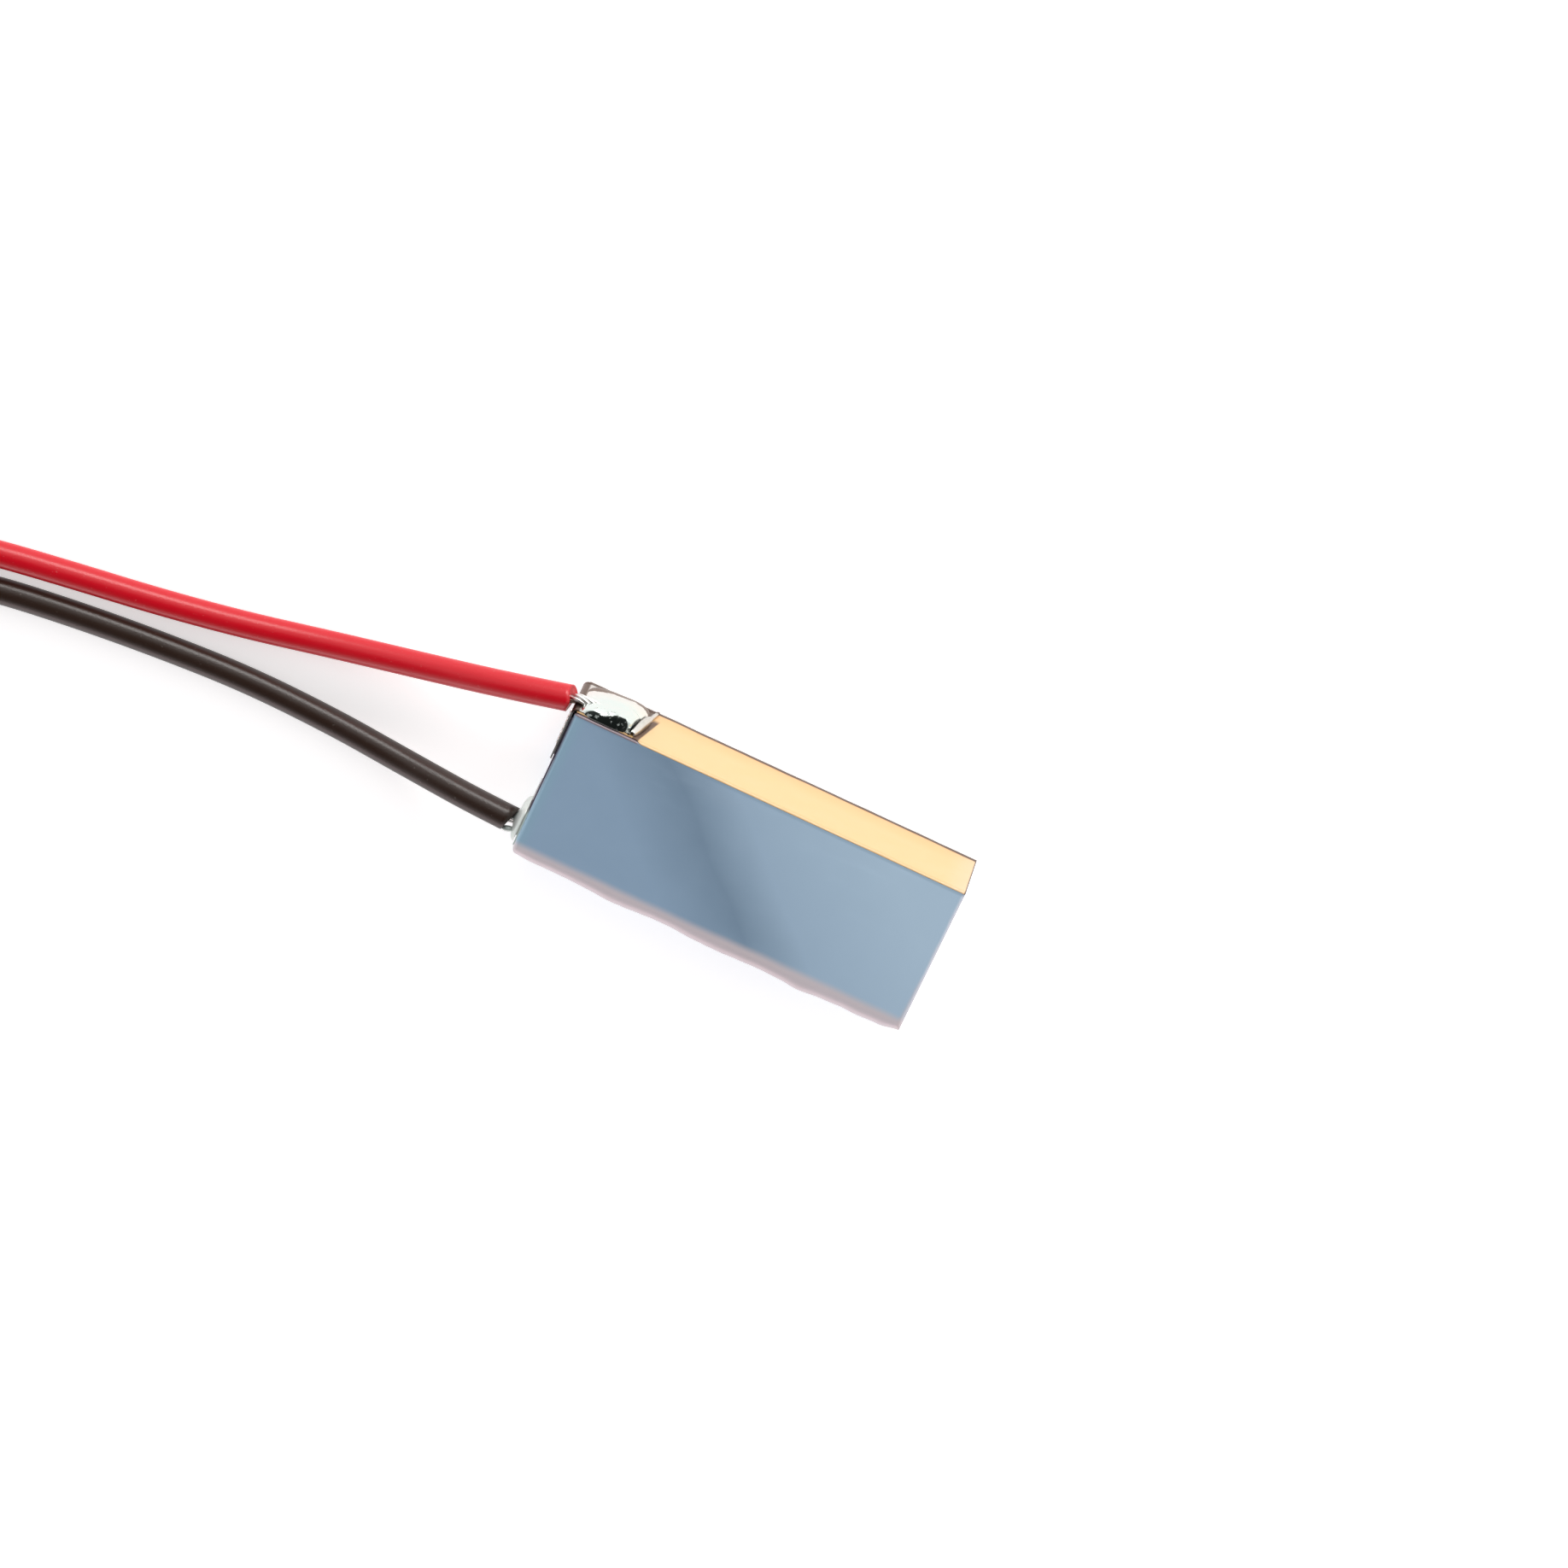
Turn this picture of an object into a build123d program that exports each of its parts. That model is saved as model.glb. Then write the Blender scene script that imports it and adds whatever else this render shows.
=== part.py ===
from build123d import *
import math
import os

# Pouch battery cell with two leads: a stacked lithium-polymer cell in a heat-sealed laminate pouch.
# The drawn cup opens upwards and the flat cover closes it. Three sealed edges are folded down
# against the cup's walls, and the fourth, at the far end, is the sheet's own fold. Both tabs leave
# through the end seal and are turned back up over its outside, where the leads are soldered.
# Frame, in millimetres: origin at the middle of the underside, +X along the length and away from
# the leads, +Y towards the taped long side, +Z up through the thickness.

# Overall sizes
CELL_LENGTH = 20.0  # over the folded end seal
CELL_WIDTH = 8.0  # over the folded side seals
CELL_THICKNESS = 4.0

# Pouch
LAMINATE = 0.11  # thickness of the pouch film
BEND_RADIUS = 0.30  # outer radius where the cover turns down
CUP_RADIUS = 0.35  # outer radius of the drawn cup's edges
FOLD_GAP = 0.02  # air between a folded seal and the cup's wall
SIDE_SEAL_EDGE = 0.2  # height of the folded side seals' cut edges
END_SEAL_EDGE = 1.0  # height of the folded end seal's cut edge
CORNER_TRIM = 0.26  # square trimmed from the folded seals at the tab end's corners
FAR_ROUND = 0.20  # outer radius of the sheet's fold at the far end

# Tabs and their sealing films
TAB_THICKNESS = 0.05
TAB_WIDTH = 2.0
TAB_SIDE_MARGIN = 1.7  # from the cell's side to the middle of a tab
TAB_INSIDE = 1.0  # reach past the cup's wall, over the welded foils
TAB_TURN = 0.15  # from the film's lower end to the turn
TAB_BACK_LENGTH = 2.65  # the leg that is turned back up
FILM_THICKNESS = 0.03  # after sealing
FILM_WIDTH = 2.6
FILM_OUTSIDE = 0.3  # shows below the end seal
FILM_INSIDE = 0.34  # shows past the cup's wall

# Electrode stack
FOIL = 0.02  # current collector
CATHODE_COATING = 0.07  # on each face of a foil
ANODE_COATING = 0.07
SEPARATOR = 0.04
ANODE_MARGIN = 0.15  # separator past the anode
CATHODE_MARGIN = 0.15  # anode past the cathode
STACK_TAPE = 0.04
STACK_TAPE_WIDTH = 6.0
SIDE_CLEARANCE = 0.12  # wrapped stack to the cup's side walls
FAR_CLEARANCE = 0.30  # separator to the far wall
TOP_CLEARANCE = 0.10  # least room over the wrapped stack
BOTTOM_CLEARANCE = 0.02  # wrapped stack to the cup's rounded bottom edges
HEADSPACE = 1.6  # cup's wall to the separator at the tab end
EAR_WIDTH = 1.6
EAR_START = 0.06  # separator's edge to the first upright ear
EAR_PITCH = 0.06  # from one upright ear to the next
WELD_GAP = 0.05  # sealing film to the welded ears
WELD_TAPE = 0.03
WELD_TAPE_LENGTH = 0.55

# Outside tapes and the nickel strip
SIDE_TAPE = 0.06
SIDE_TAPE_TOP_GAP = 0.26  # from the top face down to the tape's edge
END_TAPE = 0.06
END_TAPE_MARGIN = 0.4  # from the cell's side down to the tape's edge
NICKEL_THICKNESS = 0.08
NICKEL_TOP_GAP = 0.20  # from the top face down to the strip's upper edge
NICKEL_BOTTOM_GAP = 0.40  # from the underside up to its lower edge
NICKEL_REACH = 3.4  # along the taped side, from the tab end
NICKEL_LIP = 0.28  # height of the turned-out end
NICKEL_BEND = 0.25  # outer radius round the cell's corner

# Leads
LEAD_DIAMETER = 1.3
STRAND_BUNDLE = 0.48  # diameter of the bare conductor
TIP_DIAMETER = 0.50  # diameter of the tinned end
TIP_LENGTH = 3.0
RED_START = (-0.60, 0.20, -1.08)  # insulation's end, from the top corner over the taped side
BLACK_START = (-0.75, -0.75, -1.60)  # insulation's end, from the top edge over the negative tab

# Solder joints
MOUND_LENGTH = 2.9
MOUND_HEIGHT = 0.64
MOUND_START = 0.24  # from the nickel's outer corner to the mound
MOUND_TOP_GAP = 0.23
MOUND_BOTTOM_GAP = 0.82
MOUND_CORNER = 0.6
MOUND_EDGE = 0.4
CONDUCTOR_IN_MOUND = 2.4
CONDUCTOR_DROP = 1.0  # of the red conductor, below the top face
BLACK_LEAN = 0.15  # how far the black conductor leans back to its tab
CONE_BASE = 1.0  # diameter on the tab
CONE_TOP = 0.66
CONE_HEIGHT = 0.42
PAD_HEIGHT = 0.24  # solder spread over the negative tab, round the cone
PAD_MARGIN = 0.05  # from the tab's edges to the pad
PAD_LENGTH = 2.2  # down from near the tab's end

# Routes of the two leads' centre lines, past the insulation's ends above: X is from the tab end, Y
# and Z are from the middle of the underside. The last stretch lies on what the cell rests on.
RED_ROUTE = [
    (-3.50, 3.09, 2.40),
    (-6.80, 1.92, 1.50),
    (-11.70, 0.47, 0.75),
    (-15.70, -0.53, 0.65),
    (-19.90, -1.32, 0.65),
    (-24.05, -1.94, 0.65),
    (-28.20, -2.62, 0.65),
    (-33.00, -3.72, 0.65),
    (-37.80, -5.05, 0.65),
    (-42.00, -5.95, 0.65),
    (-45.90, -5.95, 0.65),
]
BLACK_ROUTE = [
    (-2.65, -3.12, 2.10),
    (-4.60, -3.26, 1.68),
    (-6.70, -3.45, 1.15),
    (-10.10, -3.37, 0.68),
    (-14.60, -3.24, 0.65),
    (-19.00, -3.45, 0.65),
    (-23.30, -3.97, 0.65),
    (-27.50, -4.66, 0.65),
    (-32.20, -5.80, 0.65),
    (-36.90, -7.20, 0.65),
    (-41.10, -8.20, 0.65),
    (-45.30, -8.20, 0.65),
]

# Places worked out from the sizes above
TAB_END = -CELL_LENGTH / 2
FAR_END = CELL_LENGTH / 2
HALF_WIDTH = CELL_WIDTH / 2
TAB_OFFSET = HALF_WIDTH - TAB_SIDE_MARGIN
PACK = TAB_THICKNESS + 2 * FILM_THICKNESS
SKIRT = 2 * LAMINATE  # both layers of a folded seal
CUP_TAB_END = TAB_END + SKIRT + PACK + FOLD_GAP
CUP_HALF_WIDTH = HALF_WIDTH - SKIRT - FOLD_GAP
ROOM_TAB_END = CUP_TAB_END + LAMINATE
ROOM_FAR_END = FAR_END - LAMINATE
ROOM_HALF_WIDTH = CUP_HALF_WIDTH - LAMINATE
ROOM_TOP = CELL_THICKNESS - LAMINATE
BEND_X = TAB_END + BEND_RADIUS
BEND_Z = CELL_THICKNESS - BEND_RADIUS
FILM_RADIUS = BEND_RADIUS - LAMINATE
FILM_END = END_SEAL_EDGE - FILM_OUTSIDE
TAB_TURN_Z = FILM_END - TAB_TURN
TAB_BACK_X = TAB_END - END_TAPE
STACK_TAB_END = ROOM_TAB_END + HEADSPACE
STACK_FAR_END = ROOM_FAR_END - FAR_CLEARANCE
STACK_HALF_WIDTH = ROOM_HALF_WIDTH - SIDE_CLEARANCE - STACK_TAPE - SEPARATOR
ROOM_RADIUS = CUP_RADIUS - LAMINATE
ROOM_INSET = max(ROOM_RADIUS - SIDE_CLEARANCE, 0)
STACK_LIFT = ROOM_RADIUS - math.sqrt(ROOM_RADIUS**2 - ROOM_INSET**2) + BOTTOM_CLEARANCE
STACK_BOTTOM = LAMINATE + STACK_LIFT + STACK_TAPE
CATHODE = FOIL + 2 * CATHODE_COATING
ANODE = FOIL + 2 * ANODE_COATING
PAIR = CATHODE + ANODE + 2 * SEPARATOR
STACK_ROOM = ROOM_TOP - STACK_BOTTOM - STACK_TAPE - TOP_CLEARANCE
PAIRS = math.floor((STACK_ROOM - ANODE - 2 * SEPARATOR) / PAIR)
WELD_END = ROOM_TAB_END + FILM_INSIDE + WELD_GAP
WELD_TOP = BEND_Z + FILM_RADIUS - FILM_THICKNESS - TAB_THICKNESS
NICKEL_TAB_FACE = TAB_BACK_X - TAB_THICKNESS
NICKEL_SIDE_FACE = HALF_WIDTH + SIDE_TAPE
RED_POINTS = [Vector(TAB_END, HALF_WIDTH, CELL_THICKNESS) + Vector(*RED_START)]
RED_POINTS += [Vector(TAB_END, 0, 0) + Vector(*point) for point in RED_ROUTE]
BLACK_POINTS = [Vector(TAB_END, -TAB_OFFSET, CELL_THICKNESS) + Vector(*BLACK_START)]
BLACK_POINTS += [Vector(TAB_END, 0, 0) + Vector(*point) for point in BLACK_ROUTE]


def block(x0, x1, y0, y1, z0, z1):
    """A rectangular block between two corners."""
    centre = Pos((x0 + x1) / 2, (y0 + y1) / 2, (z0 + z1) / 2)
    return centre * Box(x1 - x0, y1 - y0, z1 - z0)


def edges_at(solid, **places):
    """The straight edges whose middle lies at each given place, such as X=3 or Z=0."""
    found = []
    for edge in solid.edges():
        middle = edge.center()
        if all(abs(getattr(middle, axis) - value) < 1e-6 for axis, value in places.items()):
            found.append(edge)
    return found


def hood(offset):
    """The block inside the folded cover, its skin drawn in by offset, and open-ended past it."""
    tab_end = TAB_END + offset
    half = HALF_WIDTH - offset
    top = CELL_THICKNESS - offset
    radius = BEND_RADIUS - offset
    solid = block(tab_end, FAR_END, -half, half, 0, top)
    edges = edges_at(solid, X=tab_end) + edges_at(solid, Y=half, Z=top) + edges_at(solid, Y=-half, Z=top)
    turned = [edge for edge in edges if edge.center().Z > 1e-6]
    return fillet(turned, radius)


def below_seals():
    """What is trimmed from under the folded seals, and from their corners at the tab end."""
    cutters = []
    for side in (-1, 1):
        outer = side * HALF_WIDTH
        inner = side * (CUP_HALF_WIDTH + FOLD_GAP / 2)
        low, high = min(outer, inner), max(outer, inner)
        cutters.append(block(TAB_END, FAR_END, low, high, 0, SIDE_SEAL_EDGE))
        trim = side * (HALF_WIDTH - CORNER_TRIM)
        low, high = min(outer, trim), max(outer, trim)
        cutters.append(block(TAB_END, TAB_END + CORNER_TRIM, low, high, 0, BEND_Z))
    cutters.append(block(TAB_END, CUP_TAB_END - FOLD_GAP / 2, -HALF_WIDTH, HALF_WIDTH, 0, END_SEAL_EDGE))
    return cutters


def bent_strip(side, width, outer, inner, leg_end_x, leg_end_z):
    """A strip that runs in under the cover and turns down inside the end seal."""
    ring = Circle(outer) - Circle(inner)
    quarter = Pos(-outer / 2, outer / 2) * Rectangle(outer, outer)
    reach = leg_end_x - BEND_X
    drop = BEND_Z - leg_end_z
    level_leg = Pos(reach / 2, (outer + inner) / 2) * Rectangle(reach, outer - inner)
    upright_leg = Pos(-(outer + inner) / 2, -drop / 2) * Rectangle(outer - inner, drop)
    profile = (ring & quarter) + level_leg + upright_leg
    strip = extrude(Plane.XZ * Pos(BEND_X, BEND_Z) * profile, amount=width / 2, both=True)
    return Pos(0, side * TAB_OFFSET, 0) * strip


def tab_pocket(side):
    """The space that a tab and its two films take up in the end seal."""
    inner = FILM_RADIUS - PACK
    return bent_strip(side, FILM_WIDTH, FILM_RADIUS, inner, ROOM_TAB_END + FILM_INSIDE, FILM_END)


def tab_bulge(side):
    """The cup's film where it is pushed in round a tab."""
    middle = side * TAB_OFFSET
    half = FILM_WIDTH / 2 + LAMINATE
    outer = TAB_END + LAMINATE
    inner = outer + PACK + LAMINATE
    roof = ROOM_TOP
    upright = block(outer, inner, middle - half, middle + half, END_SEAL_EDGE, BEND_Z)
    corner = block(BEND_X, ROOM_TAB_END, middle - half, middle + half, roof - PACK - LAMINATE, roof)
    heel = block(outer + PACK, inner, middle - half, middle + half, BEND_Z, roof - PACK)
    return upright + corner + heel


def far_fold():
    """The space inside the sheet's round fold at the far end."""
    side = block(-CELL_LENGTH, FAR_END, -CELL_WIDTH, CELL_WIDTH, 0, CELL_THICKNESS)
    return fillet(edges_at(side, X=FAR_END, Z=CELL_THICKNESS), FAR_ROUND)


def make_cover():
    """The flat half of the pouch with the outer layer of each folded seal."""
    cavity = hood(LAMINATE) + block(0, FAR_END, -HALF_WIDTH + LAMINATE, HALF_WIDTH - LAMINATE, 0, ROOM_TOP)
    cover = hood(0) - cavity
    for cutter in below_seals():
        cover -= cutter
    return cover & far_fold()


def make_cup():
    """The drawn half of the pouch with the inner layer of each folded seal."""
    under = block(
        TAB_END + SKIRT, FAR_END, -HALF_WIDTH + SKIRT, HALF_WIDTH - SKIRT, 0, CELL_THICKNESS - SKIRT
    )
    layer = hood(LAMINATE) - under
    for cutter in below_seals():
        layer -= cutter
    wall = block(CUP_TAB_END, FAR_END, -CUP_HALF_WIDTH, CUP_HALF_WIDTH, 0, ROOM_TOP)
    room = block(
        ROOM_TAB_END, ROOM_FAR_END, -ROOM_HALF_WIDTH, ROOM_HALF_WIDTH, LAMINATE, CELL_THICKNESS
    )
    drawn = fillet(wall.edges().filter_by(Axis.Z) + edges_at(wall, Z=0), CUP_RADIUS)
    hollow = fillet(room.edges().filter_by(Axis.Z) + edges_at(room, Z=LAMINATE), ROOM_RADIUS)
    cup = layer + drawn
    for side in (-1, 1):
        cup = cup + tab_bulge(side)
    cup -= hollow
    for side in (-1, 1):
        cup -= tab_pocket(side)
    return cup & far_fold()


def make_tab(side):
    """A tab from the welded foils, through the end seal and back up its outside."""
    outer = FILM_RADIUS - FILM_THICKNESS
    inner = outer - TAB_THICKNESS
    sealed = bent_strip(side, TAB_WIDTH, outer, inner, ROOM_TAB_END + TAB_INSIDE, TAB_TURN_Z)
    low = side * TAB_OFFSET - TAB_WIDTH / 2
    high = low + TAB_WIDTH
    back = TAB_BACK_X - TAB_THICKNESS
    turn = block(back, BEND_X - inner, low, high, TAB_TURN_Z, TAB_TURN_Z + TAB_THICKNESS)
    back_leg = block(back, TAB_BACK_X, low, high, TAB_TURN_Z, TAB_TURN_Z + TAB_BACK_LENGTH)
    return sealed + turn + back_leg


def make_tab_films(side):
    """The two sealing films, one on each face of a tab."""
    inside = ROOM_TAB_END + FILM_INSIDE
    tab_outer = FILM_RADIUS - FILM_THICKNESS
    tab_inner = tab_outer - TAB_THICKNESS
    outside_film = bent_strip(side, FILM_WIDTH, FILM_RADIUS, tab_outer, inside, FILM_END)
    inside_film = bent_strip(side, FILM_WIDTH, tab_inner, tab_inner - FILM_THICKNESS, inside, FILM_END)
    return [outside_film, inside_film]


def layer_heights():
    """The underside of each anode and of each cathode, from the bottom of the stack up."""
    anodes = []
    cathodes = []
    z = STACK_BOTTOM + SEPARATOR
    for _ in range(PAIRS):
        anodes.append(z)
        cathodes.append(z + ANODE + SEPARATOR)
        z += PAIR
    anodes.append(z)
    return anodes, cathodes


def make_electrodes(heights, margin, coating, side):
    """The foils, each with its ear bent up to the weld, and the coatings on both their faces."""
    x0 = STACK_TAB_END + margin
    x1 = STACK_FAR_END - margin
    half = STACK_HALF_WIDTH - margin
    ear_low = side * TAB_OFFSET - EAR_WIDTH / 2
    ear_high = ear_low + EAR_WIDTH
    foils = []
    coatings = []
    for rank, z in enumerate(reversed(heights)):
        foil_z = z + coating
        upright = STACK_TAB_END - EAR_START - rank * EAR_PITCH
        weld_z = WELD_TOP - (rank + 1) * FOIL
        sheet = block(x0, x1, -half, half, foil_z, foil_z + FOIL)
        ear = block(upright - FOIL, x0, ear_low, ear_high, foil_z, foil_z + FOIL)
        riser = block(upright - FOIL, upright, ear_low, ear_high, foil_z, weld_z + FOIL)
        weld = block(WELD_END, upright, ear_low, ear_high, weld_z, weld_z + FOIL)
        foils.append(sheet + ear + riser + weld)
        coatings.append(block(x0, x1, -half, half, z, foil_z))
        coatings.append(block(x0, x1, -half, half, foil_z + FOIL, foil_z + FOIL + coating))
    return foils, coatings


def make_separator(anodes, cathodes):
    """One long strip folded to and fro between the electrodes."""
    plates = sorted([(z, ANODE) for z in anodes] + [(z, CATHODE) for z in cathodes])
    half = STACK_HALF_WIDTH
    strip = block(STACK_TAB_END, STACK_FAR_END, -half, half, STACK_BOTTOM, STACK_BOTTOM + SEPARATOR)
    for number, (z, thickness) in enumerate(plates):
        top = z + thickness
        turn = half if number % 2 else -half - SEPARATOR
        strip += block(STACK_TAB_END, STACK_FAR_END, -half, half, top, top + SEPARATOR)
        strip += block(
            STACK_TAB_END, STACK_FAR_END, turn, turn + SEPARATOR, z - SEPARATOR, top + SEPARATOR
        )
    return strip


def make_stack_tape(stack_top):
    """The tape that holds the folded stack together, once round its middle."""
    middle = (STACK_TAB_END + STACK_FAR_END) / 2
    x0 = middle - STACK_TAPE_WIDTH / 2
    x1 = middle + STACK_TAPE_WIDTH / 2
    inner = STACK_HALF_WIDTH + SEPARATOR
    outer = inner + STACK_TAPE
    ring = block(x0, x1, -outer, outer, STACK_BOTTOM - STACK_TAPE, stack_top + STACK_TAPE)
    return ring - block(x0, x1, -inner, inner, STACK_BOTTOM, stack_top)


def make_weld_tape(side, ears):
    """The tape under one tab's welded ears."""
    top = WELD_TOP - ears * FOIL
    low = side * TAB_OFFSET - TAB_WIDTH / 2
    return block(WELD_END, WELD_END + WELD_TAPE_LENGTH, low, low + TAB_WIDTH, top - WELD_TAPE, top)


def make_side_tape():
    """The tape over one folded side seal and its cut edge."""
    foot = SIDE_SEAL_EDGE - SIDE_TAPE
    top = CELL_THICKNESS - SIDE_TAPE_TOP_GAP
    outside = HALF_WIDTH + SIDE_TAPE
    start = TAB_END + CORNER_TRIM
    face = block(start, FAR_END, HALF_WIDTH, outside, foot, top)
    return face + block(start, FAR_END, HALF_WIDTH - SKIRT, outside, foot, SIDE_SEAL_EDGE)


def make_end_tape():
    """The tape between the end seal and the tabs turned back over it."""
    half = HALF_WIDTH - END_TAPE_MARGIN
    return block(TAB_END - END_TAPE, TAB_END, -half, half, END_SEAL_EDGE, BEND_Z)


def make_nickel_strip():
    """The solderable strip from the positive tab round the corner to the taped side."""
    tab_face = NICKEL_TAB_FACE
    tab_outside = tab_face - NICKEL_THICKNESS
    side_face = NICKEL_SIDE_FACE
    side_outside = side_face + NICKEL_THICKNESS
    end = TAB_END + NICKEL_REACH
    start = TAB_OFFSET - TAB_WIDTH / 2
    corner = (tab_outside, side_outside)
    inside_corner = (tab_face, side_face)
    lip_heel = (end, side_face)
    outline = Polyline(
        (tab_outside, start),
        corner,
        (end - NICKEL_THICKNESS, side_outside),
        (end - NICKEL_THICKNESS, side_outside + NICKEL_LIP),
        (end, side_outside + NICKEL_LIP),
        lip_heel,
        inside_corner,
        (tab_face, start),
        close=True,
    )
    profile = make_face(outline)
    rounds = {corner: NICKEL_BEND, inside_corner: NICKEL_BEND - NICKEL_THICKNESS, lip_heel: NICKEL_THICKNESS}
    for (x, y), radius in rounds.items():
        point = profile.vertices().sort_by_distance((x, y, 0))[0]
        profile = fillet(point, radius)
    width = CELL_THICKNESS - NICKEL_TOP_GAP - NICKEL_BOTTOM_GAP
    return Pos(0, 0, NICKEL_BOTTOM_GAP) * extrude(profile, amount=width)


def conductor_line():
    """Where the red conductor lies against the nickel strip: its Y and its Z."""
    return NICKEL_SIDE_FACE + NICKEL_THICKNESS + STRAND_BUNDLE / 2, CELL_THICKNESS - CONDUCTOR_DROP


def rod(start, end, diameter):
    """A round rod between two points."""
    path = Line(start, end)
    return sweep(Plane(origin=start, z_dir=path % 0) * Circle(diameter / 2), path=path)


def red_conductor_end():
    """The far end of the red conductor, inside the solder."""
    y, z = conductor_line()
    return Vector(NICKEL_TAB_FACE - NICKEL_THICKNESS + MOUND_START + CONDUCTOR_IN_MOUND, y, z)


def make_red_conductor():
    """The bare strands from the red insulation's end, turned to lie along the nickel strip."""
    start = RED_POINTS[0]
    y, z = conductor_line()
    turn = Vector(NICKEL_TAB_FACE, y, z)
    path = FilletPolyline(start, turn, red_conductor_end(), radius=STRAND_BUNDLE)
    return sweep(Plane(origin=start, z_dir=path % 0) * Circle(STRAND_BUNDLE / 2), path=path)


def make_positive_solder(conductor):
    """The smooth mound of solder over the red conductor."""
    x0 = NICKEL_TAB_FACE - NICKEL_THICKNESS + MOUND_START
    x1 = x0 + MOUND_LENGTH
    face = NICKEL_SIDE_FACE + NICKEL_THICKNESS
    z0 = MOUND_BOTTOM_GAP
    z1 = CELL_THICKNESS - MOUND_TOP_GAP
    mound = block(x0, x1, face, face + MOUND_HEIGHT, z0, z1)
    mound = fillet(mound.edges().filter_by(Axis.Y), MOUND_CORNER)
    rim = [edge for edge in mound.edges() if abs(edge.center().Y - face - MOUND_HEIGHT) < 1e-6]
    return fillet(rim, MOUND_EDGE) - conductor


def black_joint():
    """Where the black conductor meets the negative tab."""
    start = BLACK_POINTS[0]
    return Vector(TAB_BACK_X - TAB_THICKNESS, start.Y + BLACK_LEAN, start.Z)


def make_black_conductor():
    """The bare strands from the black insulation's end to the negative tab."""
    start = BLACK_POINTS[0]
    joint = black_joint()
    strands = rod(start, joint + (joint - start) * 0.5, STRAND_BUNDLE)
    return strands - block(joint.X, 0, -HALF_WIDTH, HALF_WIDTH, 0, CELL_THICKNESS)


def make_negative_solder(conductor):
    """The solder spread over the negative tab, with a cone of it round the black conductor."""
    joint = black_joint()
    cone = Cone(CONE_BASE / 2, CONE_TOP / 2, CONE_HEIGHT, align=(Align.CENTER, Align.CENTER, Align.MIN))
    placed = Plane(origin=joint, z_dir=(-1, 0, 0)) * cone
    half = TAB_WIDTH / 2 - PAD_MARGIN
    top = TAB_TURN_Z + TAB_BACK_LENGTH - PAD_MARGIN
    pad = block(
        joint.X - PAD_HEIGHT, joint.X, -TAB_OFFSET - half, -TAB_OFFSET + half, top - PAD_LENGTH, top
    )
    pad = fillet(pad.edges().filter_by(Axis.X), PAD_HEIGHT)
    rim = [edge for edge in pad.edges() if abs(edge.center().X - joint.X + PAD_HEIGHT) < 1e-6]
    return fillet(rim, PAD_HEIGHT / 2) + placed - conductor


def lead_path(name, points):
    """The centre line of a lead: straight runs joined by arcs as large as the runs allow."""
    radii = []
    for before, corner, after in zip(points, points[1:], points[2:]):
        shorter = min((corner - before).length, (after - corner).length)
        turn = math.radians((corner - before).get_angle(after - corner))
        radii.append(0.45 * shorter / math.tan(turn / 2))
    print(name, "radii", [round(radius, 1) for radius in radii])
    return FilletPolyline(*points, radius=radii)


def make_lead(name, points):
    """The insulated stretch of one lead."""
    path = lead_path(name, points)
    tube = sweep(Plane(origin=path @ 0, z_dir=path % 0) * Circle(LEAD_DIAMETER / 2), path=path)
    section = math.pi * LEAD_DIAMETER**2 / 4
    share = tube.volume / (section * path.length)
    print(name, "length", round(path.length, 2), "volume against section times length", round(share, 4))
    return tube


def make_tip(points):
    """The stripped and tinned far end of one lead."""
    before, end = points[-2:]
    return rod(end, end + (end - before).normalized() * TIP_LENGTH, TIP_DIAMETER)


def group(solids):
    """Separate solids that share one node."""
    return Compound(children=list(solids))


anode_heights, cathode_heights = layer_heights()
stack_top = anode_heights[-1] + ANODE + SEPARATOR
anode_foils, anode_coatings = make_electrodes(anode_heights, ANODE_MARGIN, ANODE_COATING, -1)
cathode_foils, cathode_coatings = make_electrodes(
    cathode_heights, ANODE_MARGIN + CATHODE_MARGIN, CATHODE_COATING, 1
)
red_conductor = make_red_conductor()
black_conductor = make_black_conductor()

nodes = {
    "pouch_cup": make_cup(),
    "pouch_cover": make_cover(),
    "anode_foils": group(anode_foils),
    "anode_coatings": group(anode_coatings),
    "cathode_foils": group(cathode_foils),
    "cathode_coatings": group(cathode_coatings),
    "separator": make_separator(anode_heights, cathode_heights),
    "stack_tape": make_stack_tape(stack_top),
    "positive_weld_tape": make_weld_tape(1, len(cathode_heights)),
    "negative_weld_tape": make_weld_tape(-1, len(anode_heights)),
    "positive_tab": make_tab(1),
    "negative_tab": make_tab(-1),
    "positive_tab_films": group(make_tab_films(1)),
    "negative_tab_films": group(make_tab_films(-1)),
    "side_tape": make_side_tape(),
    "end_tape": make_end_tape(),
    "nickel_strip": make_nickel_strip(),
    "positive_solder": make_positive_solder(red_conductor),
    "negative_solder": make_negative_solder(black_conductor),
    "red_conductor": red_conductor,
    "black_conductor": black_conductor,
    "red_lead": make_lead("red_lead", RED_POINTS),
    "black_lead": make_lead("black_lead", BLACK_POINTS),
    "red_tip": make_tip(RED_POINTS),
    "black_tip": make_tip(BLACK_POINTS),
}

os.makedirs("parts", exist_ok=True)
for name, shape in nodes.items():
    export_step(shape, f"parts/{name}.step")
print(len(nodes), "nodes,", PAIRS, "cathodes")
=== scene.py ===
import math

import bmesh
import bpy
from bpy.props import FloatProperty, FloatVectorProperty, IntProperty, PointerProperty
from mathutils import Matrix, Vector, noise


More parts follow.
